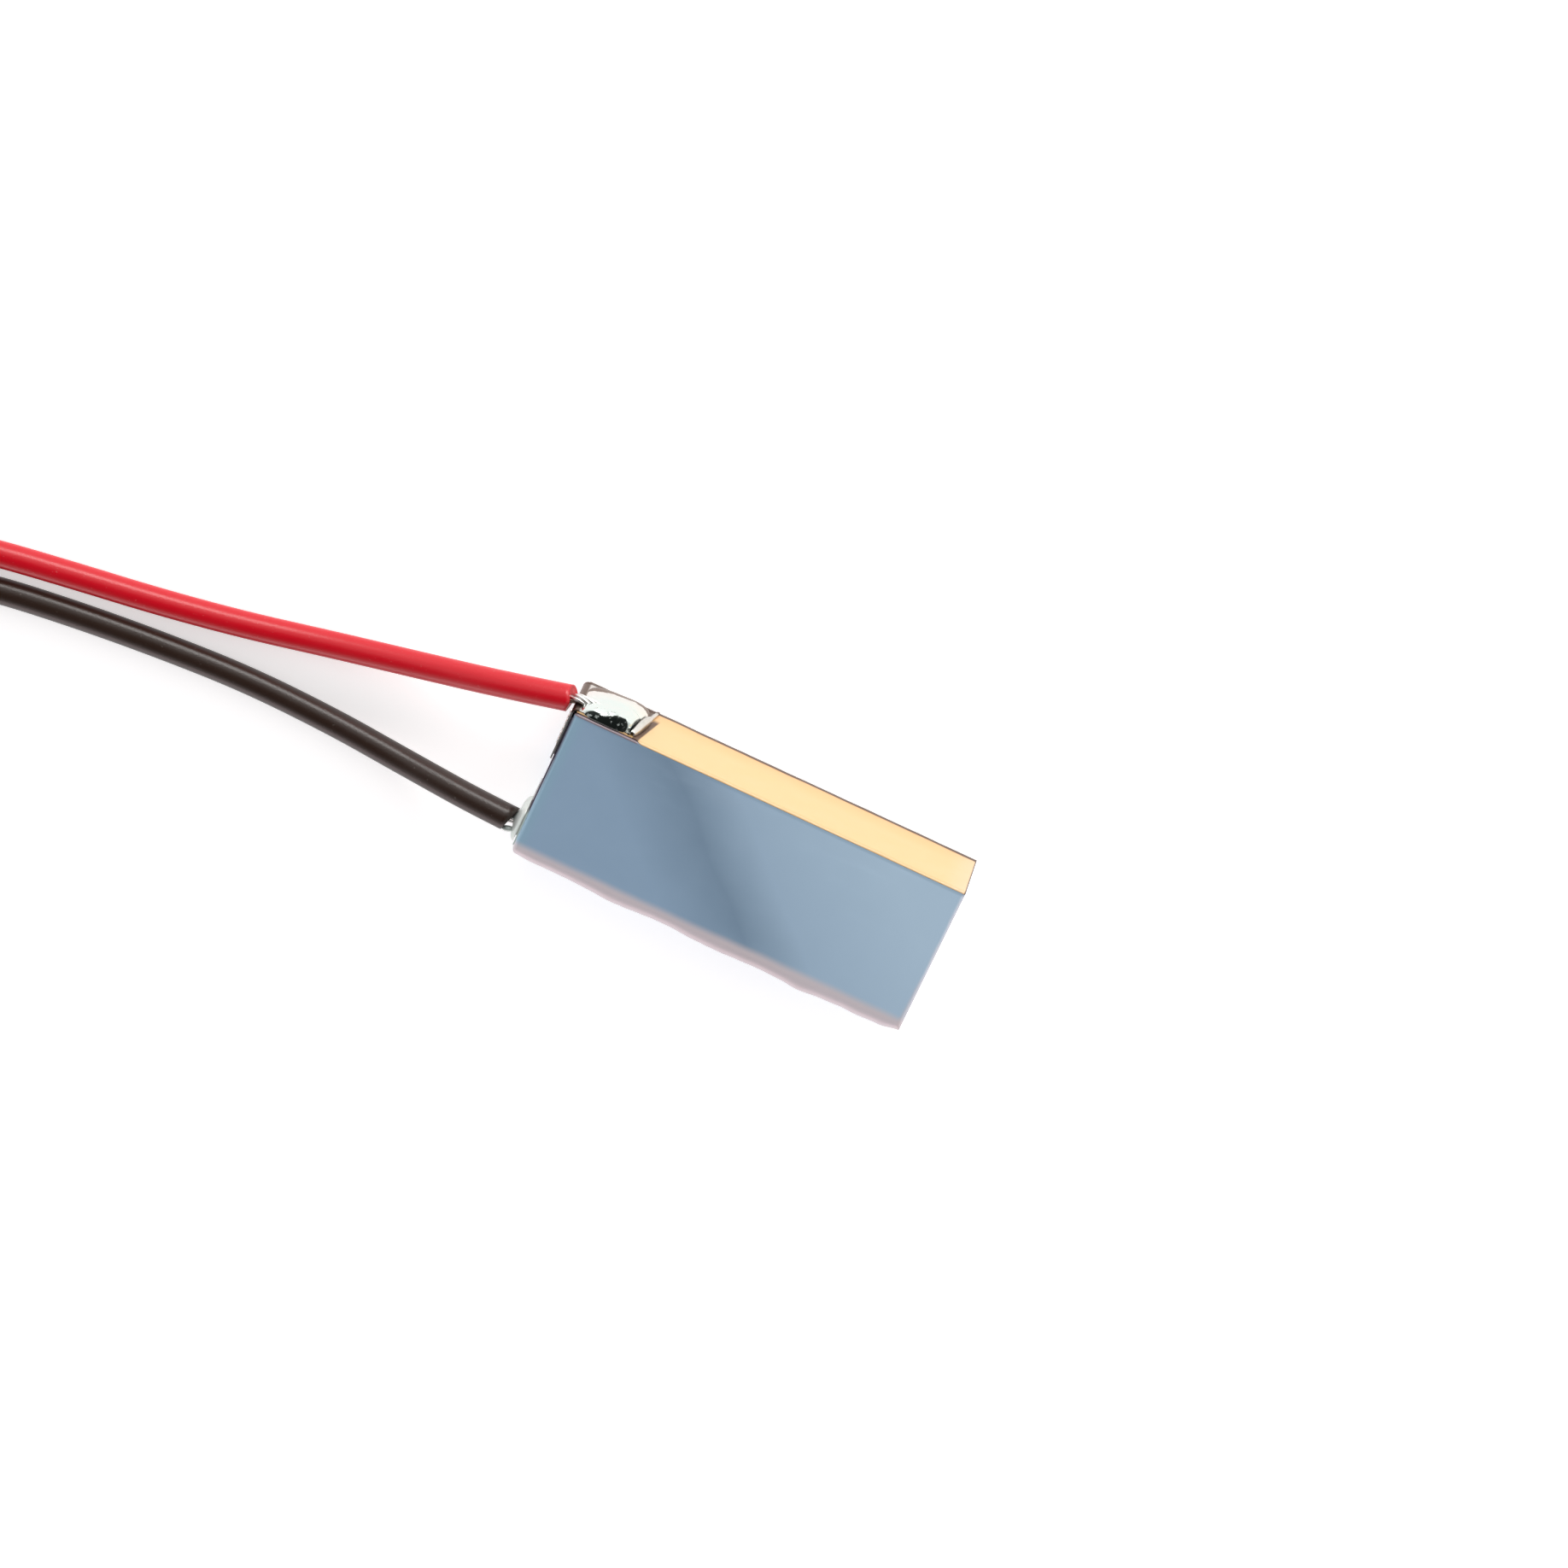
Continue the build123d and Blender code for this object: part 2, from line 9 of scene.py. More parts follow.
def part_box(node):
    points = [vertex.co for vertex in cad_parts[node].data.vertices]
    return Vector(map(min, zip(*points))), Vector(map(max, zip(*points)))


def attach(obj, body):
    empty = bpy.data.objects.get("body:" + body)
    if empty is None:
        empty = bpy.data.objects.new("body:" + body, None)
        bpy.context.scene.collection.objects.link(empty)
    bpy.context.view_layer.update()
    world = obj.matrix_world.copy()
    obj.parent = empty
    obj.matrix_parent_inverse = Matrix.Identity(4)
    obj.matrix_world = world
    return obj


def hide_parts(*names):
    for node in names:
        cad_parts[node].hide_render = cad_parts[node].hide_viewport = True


bl_info = {
    "name": "Pouch cell",
    "version": (1, 0, 0),
    "blender": (4, 5, 0),
    "location": "View3D > Sidebar > Pouch cell",
    "description": "Makes the looks of a small pouch battery cell with two leads round its fixed frame",
    "category": "Object",
}

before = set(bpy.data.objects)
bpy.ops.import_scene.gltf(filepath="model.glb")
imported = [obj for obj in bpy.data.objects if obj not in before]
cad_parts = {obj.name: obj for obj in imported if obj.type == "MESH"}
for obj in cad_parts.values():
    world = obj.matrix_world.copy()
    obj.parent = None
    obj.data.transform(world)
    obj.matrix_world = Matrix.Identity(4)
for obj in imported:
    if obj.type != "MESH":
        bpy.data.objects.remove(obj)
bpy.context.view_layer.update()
MM = 0.001
COVER_LOW, COVER_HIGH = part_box("pouch_cover")
TAB_END, FAR_END = COVER_LOW.x, COVER_HIGH.x
HALF_WIDTH = COVER_HIGH.y
TOP = COVER_HIGH.z
BODY = "root"
# The cell's nominal half length and half width in millimetres, for the shapes that fade at its edges.
HALF_LENGTH_MM, HALF_WIDTH_MM = 10, 4
# The hemmed end of the nickel strip leans by this share of the height, about the strip's middle. The
# mound leans with it, about its own middle. Both middles are in millimetres.
HEM_LEAN = 0.22
STRIP_MIDDLE, MOUND_MIDDLE = 2.1, 2.265
# Points closer than this are one point: on tubes and welds, and on the fine strands.
FINE_MERGE, STRAND_MERGE = 1e-8, 1e-9

# Centre lines of the leads, from the insulation's end at the cell to its far end, in metres.
RED_ROUTE = [
    (-0.01037, 0.00413, 0.00288),
    (-0.01350, 0.00309, 0.00240),
    (-0.01680, 0.00192, 0.00150),
    (-0.02170, 0.00047, 0.00075),
    (-0.02570, -0.00053, 0.00065),
    (-0.02990, -0.00132, 0.00065),
    (-0.03405, -0.00194, 0.00065),
    (-0.03820, -0.00262, 0.00065),
    (-0.04300, -0.00372, 0.00065),
    (-0.04780, -0.00505, 0.00065),
    (-0.05200, -0.00595, 0.00065),
    (-0.05590, -0.00595, 0.00065),
]
BLACK_ROUTE = [
    (-0.01075, -0.00305, 0.00240),
    (-0.01265, -0.00312, 0.00210),
    (-0.01460, -0.00316, 0.00168),
    (-0.01670, -0.00323, 0.00115),
    (-0.02010, -0.00315, 0.00068),
    (-0.02460, -0.00303, 0.00065),
    (-0.02900, -0.00330, 0.00065),
    (-0.03330, -0.00372, 0.00065),
    (-0.03750, -0.00430, 0.00065),
    (-0.04220, -0.00545, 0.00065),
    (-0.04690, -0.00720, 0.00065),
    (-0.05110, -0.00820, 0.00065),
    (-0.05530, -0.00820, 0.00065),
]


# Sizes and colours that a user would change


def number(name, description, default, unit="NONE", precision=2):
    """A number property."""
    return FloatProperty(name=name, description=description, default=default, unit=unit, precision=precision)


def length(name, description, default):
    """A length property in metres."""
    return number(name, description, default, "LENGTH", 6)


def colour(name, description, default):
    """A colour property."""
    return FloatVectorProperty(
        name=name, description=description, default=default, subtype="COLOR", size=3, min=0, max=1
    )


class CellSizes(bpy.types.PropertyGroup):
    """Sizes of the finished pieces."""

    film: length("Pouch film", "Thickness of the pouch film", 0.11 * MM)
    taped_bend: length("Taped bend", "Bend radius of the cover on the taped side", 0.12 * MM)
    plain_bend: length("Plain bend", "Bend radius of the cover on the other long side", 0.52 * MM)
    end_bend: length("End bend", "Bend radius of the cover at the tab end", 0.20 * MM)
    far_bend: length("Far bend", "Radius of the sheet's fold at the far end", 0.20 * MM)
    dent: length("Dent", "Depth of the shallow trough across the cover", 0.05 * MM)
    ripple: length("Ripple", "How far the plain folded seal bulges out", 0.15 * MM)
    tape: length("Tape", "Thickness of the side tape", 0.06 * MM)
    nickel: length("Nickel", "Thickness of the nickel strip", 0.08 * MM)
    lead: length("Lead", "Outer diameter of a lead", 1.3 * MM)
    strands: length("Strand bundle", "Diameter of the bare strand bundle", 0.48 * MM)
    strand_count: IntProperty(name="Strands", description="Strands round the middle one", default=6, min=3)


class CellColours(bpy.types.PropertyGroup):
    """Colours of the finishes."""

    pouch: colour("Pouch", "Blue-grey laminate", (0.29, 0.425, 0.58))
    # Painted shade: the darker band across the cover's trough and the shade on the taped bend.
    pouch_painted_shade: colour("Pouch shade", "Laminate where it is dull", (0.207, 0.308, 0.425))
    # Paler random mottle, and the painted sheen that pales the cover towards its far corner.
    pouch_pale_and_sheen: colour("Pouch pale", "Laminate where it is rubbed pale", (0.475, 0.645, 0.80))
    # Partly the real whitening along the folds and partly a painted reflection of the warm fill on the
    # rounded edges.
    fold: colour("Fold", "Whitened nylon skin along the folds", (0.71, 0.62, 0.635))
    tape: colour("Tape", "Cream polyimide tape", (0.64, 0.420, 0.197))
    # Painted shade: dark lines where shadow falls along the tape's edges and beside the hem, and on the
    # mound, strip and strands beside them.
    edge: colour("Tape edge", "Dust held by the glue at the tape's cut edges", (0.09, 0.045, 0.025))
    red: colour("Red", "Red lead's insulation", (0.52, 0.001, 0.010))
    black: colour("Black", "Black lead's insulation", (0.023, 0.011, 0.007))
    solder: colour("Solder", "Bright solder", (0.74, 0.81, 0.78))
    nickel: colour("Nickel", "Rolled nickel", (0.66, 0.65, 0.62))


class StudioSettings(bpy.types.PropertyGroup):
    """The floor, the lights and the camera."""

    floor: colour("Floor", "Plain pale floor", (0.93, 0.93, 0.93))
    glow: number("Floor glow", "How strongly the light table shines", 0.50)
    sky: number("Room light", "How strongly the white room shines", 0.86)
    key: number("Key light", "Softbox beyond the taped side", 2.0, "POWER")
    fill: number("Fill light", "Warm card beyond the plain side", 0.6, "POWER")
    distance: length("Distance", "Camera to the point that it looks at", 0.450)
    lens: number("Lens", "Focal length", 221.7, "CAMERA")
    tilt: number("Tilt", "From straight above", math.radians(24.5), "ROTATION")
    turn: number("Turn", "Round the cell", math.radians(3.95), "ROTATION")
    roll: number("Roll", "About the line of sight", math.radians(25.58), "ROTATION")


# Node trees


class Value:
    """An output that takes part in sums: each operator adds its Math node."""

    def __init__(self, graph, socket):
        self.graph = graph
        self.socket = socket

    def math(self, operation, *others):
        return self.graph.node("ShaderNodeMath", [self, *others], operation=operation)

    def __add__(self, other):
        return self.math("ADD", other)

    def __sub__(self, other):
        return self.math("SUBTRACT", other)

    def __mul__(self, other):
        return self.math("MULTIPLY", other)

    def __truediv__(self, other):
        return self.math("DIVIDE", other)

    def __rsub__(self, other):
        return self.graph.node("ShaderNodeMath", [other, self], operation="SUBTRACT")

    __radd__, __rmul__ = __add__, __mul__

    def step(self, low, high):
        """0 below low, 1 above high, and smooth between them."""
        inputs = {"Value": self, "From Min": low, "From Max": high}
        return self.graph.node("ShaderNodeMapRange", inputs, interpolation_type="SMOOTHSTEP")


class Graph:
    """A node tree that code fills."""

    def __init__(self, tree):
        self.tree = tree
        tree.nodes.clear()

    def feed(self, socket, value):
        """Links a value to a socket, or sets the socket to a constant."""
        if isinstance(value, Value):
            self.tree.links.new(value.socket, socket)
        elif socket.type == "RGBA" and len(value) == 3:
            socket.default_value = (*value, 1)
        else:
            socket.default_value = value

    def node(self, kind, inputs=(), output=0, **settings):
        """Adds a node, sets what it is, feeds its inputs by name or in order, and gives one output.

        With output None it gives the node itself.
        """
        made = self.tree.nodes.new(kind)
        for key, value in settings.items():
            setattr(made, key, value)
        pairs = inputs.items() if isinstance(inputs, dict) else enumerate(inputs)
        for key, value in pairs:
            self.feed(made.inputs[key], value)
        return made if output is None else Value(self, made.outputs[output])


class Shading(Graph):
    """A shader's node tree."""

    def coordinates(self, kind="Object"):
        return self.node("ShaderNodeTexCoord", output=kind)

    def axes(self, kind="Object"):
        """The three coordinates, each as a value, in millimetres on Object coordinates."""
        split = self.node("ShaderNodeSeparateXYZ", [self.coordinates(kind)], None)
        scale = 1 / MM if kind == "Object" else 1
        return [Value(self, socket) * scale for socket in split.outputs]

    def noise(self, scale, detail=2.0, roughness=0.5, stretch=(1, 1, 1), kind="Object"):
        """Noise with scale cells to one unit of the coordinates, stretched along the axes."""
        place = self.coordinates(kind)
        if stretch != (1, 1, 1):
            place = self.node("ShaderNodeMapping", {"Vector": place, "Scale": stretch})
        inputs = {"Vector": place, "Scale": scale, "Detail": detail, "Roughness": roughness}
        return self.node("ShaderNodeTexNoise", inputs)

    def mix(self, factor, low, high):
        """Low where the factor is 0 and high where it is 1."""
        # On a Mix node for colours, inputs 6 and 7 are the colours and output 2 is the result.
        return self.node("ShaderNodeMix", {0: factor, 6: low, 7: high}, 2, data_type="RGBA")

    def layers(self, skin, *layers):
        """A skin with each (mask, colour) laid over what is there."""
        for mask, shade in layers:
            skin = self.mix(mask, skin, shade)
        return skin

    def ramp(self, factor, stops):
        """A colour ramp through (place, colour) stops."""
        made = self.node("ShaderNodeValToRGB", {"Fac": factor}, None)
        elements = made.color_ramp.elements
        while len(elements) < len(stops):
            elements.new(1)
        for element, (place, shade) in zip(elements, stops):
            element.position = place
            element.color = (*shade, 1)
        return Value(self, made.outputs[0])

    def bump(self, height, distance):
        """A normal bent by a height, whose full range is distance in metres."""
        return self.node("ShaderNodeBump", {"Height": height, "Distance": distance}, "Normal")


class Finish(Shading):
    """A material, with a principled shader to feed."""

    def __init__(self, name, **constants):
        self.material = bpy.data.materials.new(name)
        self.material.use_nodes = True
        super().__init__(self.material.node_tree)
        self.shader = self.node("ShaderNodeBsdfPrincipled", output=None)
        surface = Value(self, self.shader.outputs["BSDF"])
        self.node("ShaderNodeOutputMaterial", {"Surface": surface}, None)
        self.set(**constants)

    def set(self, **sockets):
        """Feeds the principled shader and gives the material."""
        for socket, value in sockets.items():
            self.feed(self.shader.inputs[socket.replace("_", " ")], value)
        return self.material


# Materials. Places in them are in millimetres, and bump heights in metres.

POUCH_BUMP, TAPE_BUMP, SOLDER_BUMP, METAL_BUMP, LEAD_BUMP, GRAIN_BUMP = 7e-6, 6e-6, 6e-6, 2.5e-6, 9e-6, 4e-6
TEAL_PAINTED_SHEEN = (0.26, 0.50, 0.58)
END_PAINTED_SHADE = (0.06, 0.05, 0.09)
BROWN_PAINTED_SHADE = (0.16, 0.09, 0.09)
PINK_PAINTED_REFLECTION = (0.95, 0.72, 0.66)
DARK_PAINTED_SHADE = (0.010, 0.013, 0.012)
DUST = (0.6, 0.55, 0.5)
END_TAPE, END_TAPE_DEEP = (0.11, 0.085, 0.13), (0.08, 0.06, 0.09)
SPATTER = (0.55, 0.66, 0.62)


def scaled(shade, *factors):
    """A colour with each part times its factor, or times the only factor."""
    return [part * factor for part, factor in zip(shade, factors * 3 if len(factors) == 1 else factors)]


def pouch_finish(shades):
    """Blue-grey nylon-faced aluminium laminate with painted reflections: a painted shade band across one
    trough, a painted sheen towards the far corner, and folds partly whitened and partly painted with a warm
    reflection.
    """
    finish = Finish("pouch_film", Metallic=0.15, IOR=1.5, Coat_Weight=0.2, Coat_Roughness=0.15)
    x, y, z = finish.axes()
    cloud = finish.noise(140, 3) - 0.5
    middle = [(dark + pale) / 2 for dark, pale in zip(shades.pouch, shades.pouch_pale_and_sheen)]
    # The ramp paints the cover's reflections along a diagonal: painted shade across the trough, painted sheen
    # towards the far corner.
    skin = finish.ramp((x + y + 11.7 + cloud * 2.2) / 24.0, [
        (0.04, shades.pouch), (0.24, shades.pouch), (0.43, shades.pouch_painted_shade), (0.58, middle),
        (0.90, shades.pouch_pale_and_sheen),
    ])
    mottle = finish.noise(900, 4, 0.6)
    # Painted teal sheen towards the tab end, and a painted shade line along the tab-end edge.
    tab_end = 1 - x.step(-9.9, -9.2)
    end_line = (1 - x.step(-9.98, -9.86)) * y.step(-1.5, 1.5)
    # The fold colour at the far end and on the plain bend is partly real whitening, partly a painted
    # reflection of the warm fill.
    far_end = (x + cloud).step(9.75, 9.98)
    # Painted shade on the taped bend, and a brown painted shade on the bend above the solder.
    taped_bend = y.step(3.74, 3.90)
    shade_above_solder = y.step(3.87, 3.93) * (1 - x.step(-6.9, -6.6))
    plain_bend = (0 - y + cloud * 0.3).step(3.05, 3.52) * z.step(2.4, 3.1)
    skin = finish.layers(
        skin, (mottle * 0.08, shades.pouch_pale_and_sheen), (tab_end * 0.30, TEAL_PAINTED_SHEEN), (end_line * 0.7, END_PAINTED_SHADE),
        (far_end * 0.6, shades.fold), (taped_bend * 0.45, shades.pouch_painted_shade),
        (shade_above_solder * 0.85, BROWN_PAINTED_SHADE), (plain_bend * 0.85, shades.fold),
    )
    diagonals = {"Vector": finish.coordinates(), "Scale": 1600, "Distortion": 0.0}
    press_lines = finish.node("ShaderNodeTexWave", diagonals, "Fac", bands_direction="DIAGONAL")
    below_top = 1 - z.step(3.70, 3.98)
    grain = finish.noise(5200, 3, 0.6)
    sag = finish.noise(420, 2, 0.5)
    height = grain * 0.10 + sag * 0.9 + below_top * press_lines * 0.25
    scuffs = finish.noise(2600, 2, 0.5, (0.12, 1, 1)).step(0.62, 0.72)
    rough = 0.33 + mottle * 0.10 + scuffs * 0.08
    return finish.set(Base_Color=skin, Roughness=rough, Normal=finish.bump(height, POUCH_BUMP))


def side_tape_finish(shades):
    """Polyimide tape: an even translucent film over its glue, with faint streaks and bubbles, and painted
    shade along its lower and far edges, beside the hem and above the solder.
    """
    finish = Finish("polyimide_tape", IOR=1.5, Coat_Roughness=0.15)
    x, y, z = finish.axes()
    streak = finish.noise(700, 2, 0.5, (0.08, 1, 1))
    blotch = finish.noise(500, 2)
    deep = scaled(shades.tape, 1.02, 0.84, 0.74)
    pale = [part + lift for part, lift in zip(scaled(shades.tape, 1.0, 1.03, 1.12), (0.0, 0.02, 0.05))]
    leaned = x + (z - STRIP_MIDDLE) * HEM_LEAN
    # Painted shade: dark lines along the lower and far edges, beside the hem and above the solder, in the
    # edge colour.
    painted_edge_shade = (1 - z.step(0.32, 0.42)) + x.step(9.90, 9.97)
    shade_beside_hem = leaned.step(-6.75, -6.68) * (1 - leaned.step(-6.46, -6.38)) * z.step(0.9, 1.4)
    shade_above_solder = (1 - x.step(-6.9, -6.6)) * z.step(3.78, 3.86)
    rim = (painted_edge_shade + shade_beside_hem + shade_above_solder * 0.5).math("MINIMUM", 1)
    skin = finish.mix((1 - z.step(0.2, 1.8)) * 0.7, shades.tape, deep)
    skin = finish.layers(skin, (x.step(8.6, 9.9) * 0.8, pale), (streak * 0.14, deep), (rim, shades.edge))
    cells = {"Vector": finish.coordinates(), "Scale": 1400}
    bubbles = finish.node("ShaderNodeTexVoronoi", cells, "Distance")
    height = (1 - bubbles.step(0.05, 0.22)) * 0.4 + streak * 0.6 + blotch
    return finish.set(
        Base_Color=skin, Coat_Weight=(1 - rim) * 0.35, Roughness=0.34 + blotch * 0.12,
        Normal=finish.bump(height, TAPE_BUMP),
    )


def end_tape_finish():
    """Dark insulating tape, with solder spatter and rosin beside the negative tab."""
    finish = Finish("end_insulation")
    x, y, z = finish.axes()
    grain = finish.noise(5000, 4, 0.6)
    spatter = 1 - (y + grain * 0.3).step(-1.75, -1.35)
    skin = finish.layers(END_TAPE, (grain * 0.6, END_TAPE_DEEP), (spatter, SPATTER))
    return finish.set(Base_Color=skin, Roughness=0.55 + grain * 0.1, Normal=finish.bump(grain, GRAIN_BUMP))


def solder_finish(name, shades, metal, dull):
    """Tin solder: bright where it flowed, finely wrinkled where it cooled last; on the large mound, painted
    shade along its lower edge with a painted pink reflection above it, and painted dark reflection and shade
    along its top and in the hollow by the hem.
    """
    finish = Finish(name, Specular_IOR_Level=0.1)
    x, y, z = finish.axes()
    frost = finish.noise(3200, 4, 0.65)
    patches = finish.noise(1100, 2).step(0.5, 0.68)
    side = y.step(4.0, 4.1)
    lower = z + frost * 0.3 + (x + 7.0) * 0.06
    # On the large mound only: painted shade along its lower edge, and above it a painted pink reflection of
    # the tape.
    lower_edge_shade = (1 - lower.step(1.54, 1.68)) * side
    pink_reflection = (1 - lower.step(1.70, 2.50)) * side
    ragged = finish.noise(1100, 1) - 0.5
    # Painted dark reflection along the mound's top, and painted shade in the hollow by the hem.
    top_dark_reflection = (z + ragged * 0.34 + (x + 7.0) * 0.04).step(3.70, 3.76) * side
    crease_shade = (x + (z - MOUND_MIDDLE) * HEM_LEAN).step(-7.12, -7.05) * z.step(1.5, 2.0)
    painted_dark = top_dark_reflection.math("MAXIMUM", crease_shade)
    specks = finish.noise(4200, 2, 0.6).step(0.58, 0.70)
    skin = finish.mix(frost * 0.35, shades.solder, scaled(shades.solder, 0.82))
    skin = finish.layers(
        skin, (pink_reflection * 0.28, PINK_PAINTED_REFLECTION), (painted_dark * (1 - specks * 0.4), DARK_PAINTED_SHADE), (lower_edge_shade * 0.92, shades.edge)
    )
    return finish.set(
        Base_Color=skin, Metallic=metal * (1 - lower_edge_shade * 0.8) * (1 - painted_dark * 0.9),
        Roughness=dull + patches * 0.10 + frost * 0.06 + lower_edge_shade * 0.15,
        Normal=finish.bump(frost * (0.25 + patches * 0.75), SOLDER_BUMP),
    )


def strip_painted_shade(x, y, z):
    """Painted shade on the strip: beside its hemmed end, along its lower edge and at the cell's corner."""
    leaned = x + (z - STRIP_MIDDLE) * HEM_LEAN
    shade_beside_hem = (leaned + 6.78).math("ABSOLUTE").step(0.12, 0.20) * x.step(-7.4, -7.2)
    corner = (1 - x.step(-9.92, -9.80)) * y.step(3.86, 3.94)
    return (shade_beside_hem * 0.9 + (1 - z.step(0.52, 0.64)) * 0.9 + corner * 0.9).math("MINIMUM", 1)


def strand_painted_shade(x, y, z):
    """Painted shadow on the red strands, beside the mound."""
    return x.step(-10.9, -10.7) * y.step(3.6, 3.7) * (1 - y.step(4.14, 4.28)) * 0.95


def rolled_metal(name, shade, rough, direction, shadow_mask=None):
    """A rolled strip: fine lines along the rolling direction, handling marks and any painted shade from the
    shadow mask.
    """
    finish = Finish(name, Metallic=1.0)
    lines = finish.noise(9000, 3, 0.6, direction)
    stain = finish.noise(700, 3, 0.6)
    skin = finish.mix(stain.step(0.4, 0.75) * 0.5, shade, scaled(shade, 0.72))
    if shadow_mask:
        # Painted shade in the edge colour where the shadow mask is 1.
        skin = finish.mix(shadow_mask(*finish.axes()), skin, bpy.context.scene.cell_colours.edge)
    surface = rough + lines * 0.12 + stain * 0.08
    return finish.set(Base_Color=skin, Roughness=surface, Normal=finish.bump(lines + stain, METAL_BUMP))


def insulation_finish(name, shade, lift, shine, dull):
    """Extruded PVC: a smooth gloss skin with a slight drag along the lead and dust specks."""
    finish = Finish(name, IOR=1.50, Specular_IOR_Level=shine)
    drag = finish.noise(1.0, 3.0, 0.5, (8, 60, 1), "UV")
    cloud = finish.noise(700, 3)
    speck = finish.noise(9000, 2).step(0.70, 0.76)
    pale = [min(part + lift, 1) for part in shade]
    skin = finish.layers(shade, (cloud.step(0.35, 0.8) * 0.35, pale), (speck * 0.12, DUST))
    return finish.set(
        Base_Color=skin, Roughness=dull + drag * 0.08 + speck * 0.15,
        Normal=finish.bump(drag * 0.7 + cloud * 0.5, LEAD_BUMP),
    )


def grain_finish(name, shade, deep, scale, rough, metallic=0.0, **constants):
    """A plain finish with two shades of grain, for foils, coatings and films."""
    finish = Finish(name, Metallic=metallic, **constants)
    grain = finish.noise(scale, 4, 0.6)
    cloud = finish.noise(scale / 9, 2)
    skin = finish.mix(grain * 0.6 + cloud * 0.4, shade, deep)
    return finish.set(Base_Color=skin, Roughness=rough + grain * 0.1, Normal=finish.bump(grain, GRAIN_BUMP))


# Shapes


def add_object(name, data):
    """An object in the scene that holds this data."""
    made = bpy.data.objects.new(name, data)
    bpy.context.scene.collection.objects.link(made)
    return made


def piece_from(name, points, faces, material, smooth=True, uvs=None):
    """An object whose mesh holds these points and faces."""
    mesh = bpy.data.meshes.new(name)
    mesh.from_pydata([tuple(point) for point in points], [], faces)
    mesh.materials.append(material)
    for polygon in mesh.polygons:
        polygon.use_smooth = smooth
    if uvs:
        layer = mesh.uv_layers.new(name="UVMap")
        for loop in mesh.loops:
            layer.data[loop.index].uv = uvs[loop.vertex_index]
    return add_object(name, mesh)


def tidy_mesh(made, merge=1e-7, outwards=True):
    """Merges doubled points and turns the faces outwards."""
    work = bmesh.new()
    work.from_mesh(made.data)
    bmesh.ops.remove_doubles(work, verts=work.verts, dist=merge)
    if outwards:
        bmesh.ops.recalc_face_normals(work, faces=work.faces)
    work.to_mesh(made.data)
    work.free()
    made.data.update()
    return made


def face_towards(made, direction):
    """Turns the faces over if most of their area looks the other way."""
    if sum(face.normal.dot(direction) * face.area for face in made.data.polygons) < 0:
        made.data.flip_normals()


def modify(made, name, kind, **settings):
    """Adds a modifier with these settings."""
    modifier = made.modifiers.new(name, kind)
    for key, value in settings.items():
        setattr(modifier, key, value)
    return made


def thicken(made, thickness):
    """A wall of this thickness inside the mesh's face."""
    return modify(made, "wall", "SOLIDIFY", thickness=thickness, offset=-1, use_even_offset=True)


def final_mesh(made):
    """Takes an object away and gives its mesh, with its curve or modifiers worked out."""
    depsgraph = bpy.context.evaluated_depsgraph_get()
    mesh = bpy.data.meshes.new_from_object(made.evaluated_get(depsgraph), depsgraph=depsgraph)
    bpy.data.objects.remove(made)
    return mesh


def paint(node, material):
    """Gives a CAD node its finish."""
    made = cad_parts[node]
    made.data.materials.clear()
    made.data.materials.append(material)


def hold(made, slot, *nodes):
    """The piece rides on the cell and stands for these nodes, which are hidden; the slot is not used."""
    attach(made, BODY)
    if nodes:
        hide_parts(*nodes)


def spread(low, high, count):
    """Evenly spaced values from low to high."""
    return [low + (high - low) * step / count for step in range(count + 1)]


def grid_faces(rows, columns, start=0, flip=False):
    """Quads over a grid of points stored row by row."""
    faces = []
    for row in range(rows - 1):
        for column in range(columns - 1):
            a = start + row * columns + column
            quad = (a, a + columns, a + columns + 1, a + 1)
            faces.append(quad[::-1] if flip else quad)
    return faces


def smooth_step(low, high, value):
    """0 below low, 1 above high, and smooth between them."""
    share = min(max((value - low) / (high - low), 0), 1)
    return share * share * (3 - 2 * share)


def soft_noise(*place):
    """Smooth noise at a place."""
    return noise.noise(Vector(place))


def bell(value, middle, width):
    """A smooth bump of height 1 at middle."""
    return math.exp(-(((value - middle) / width) ** 2))


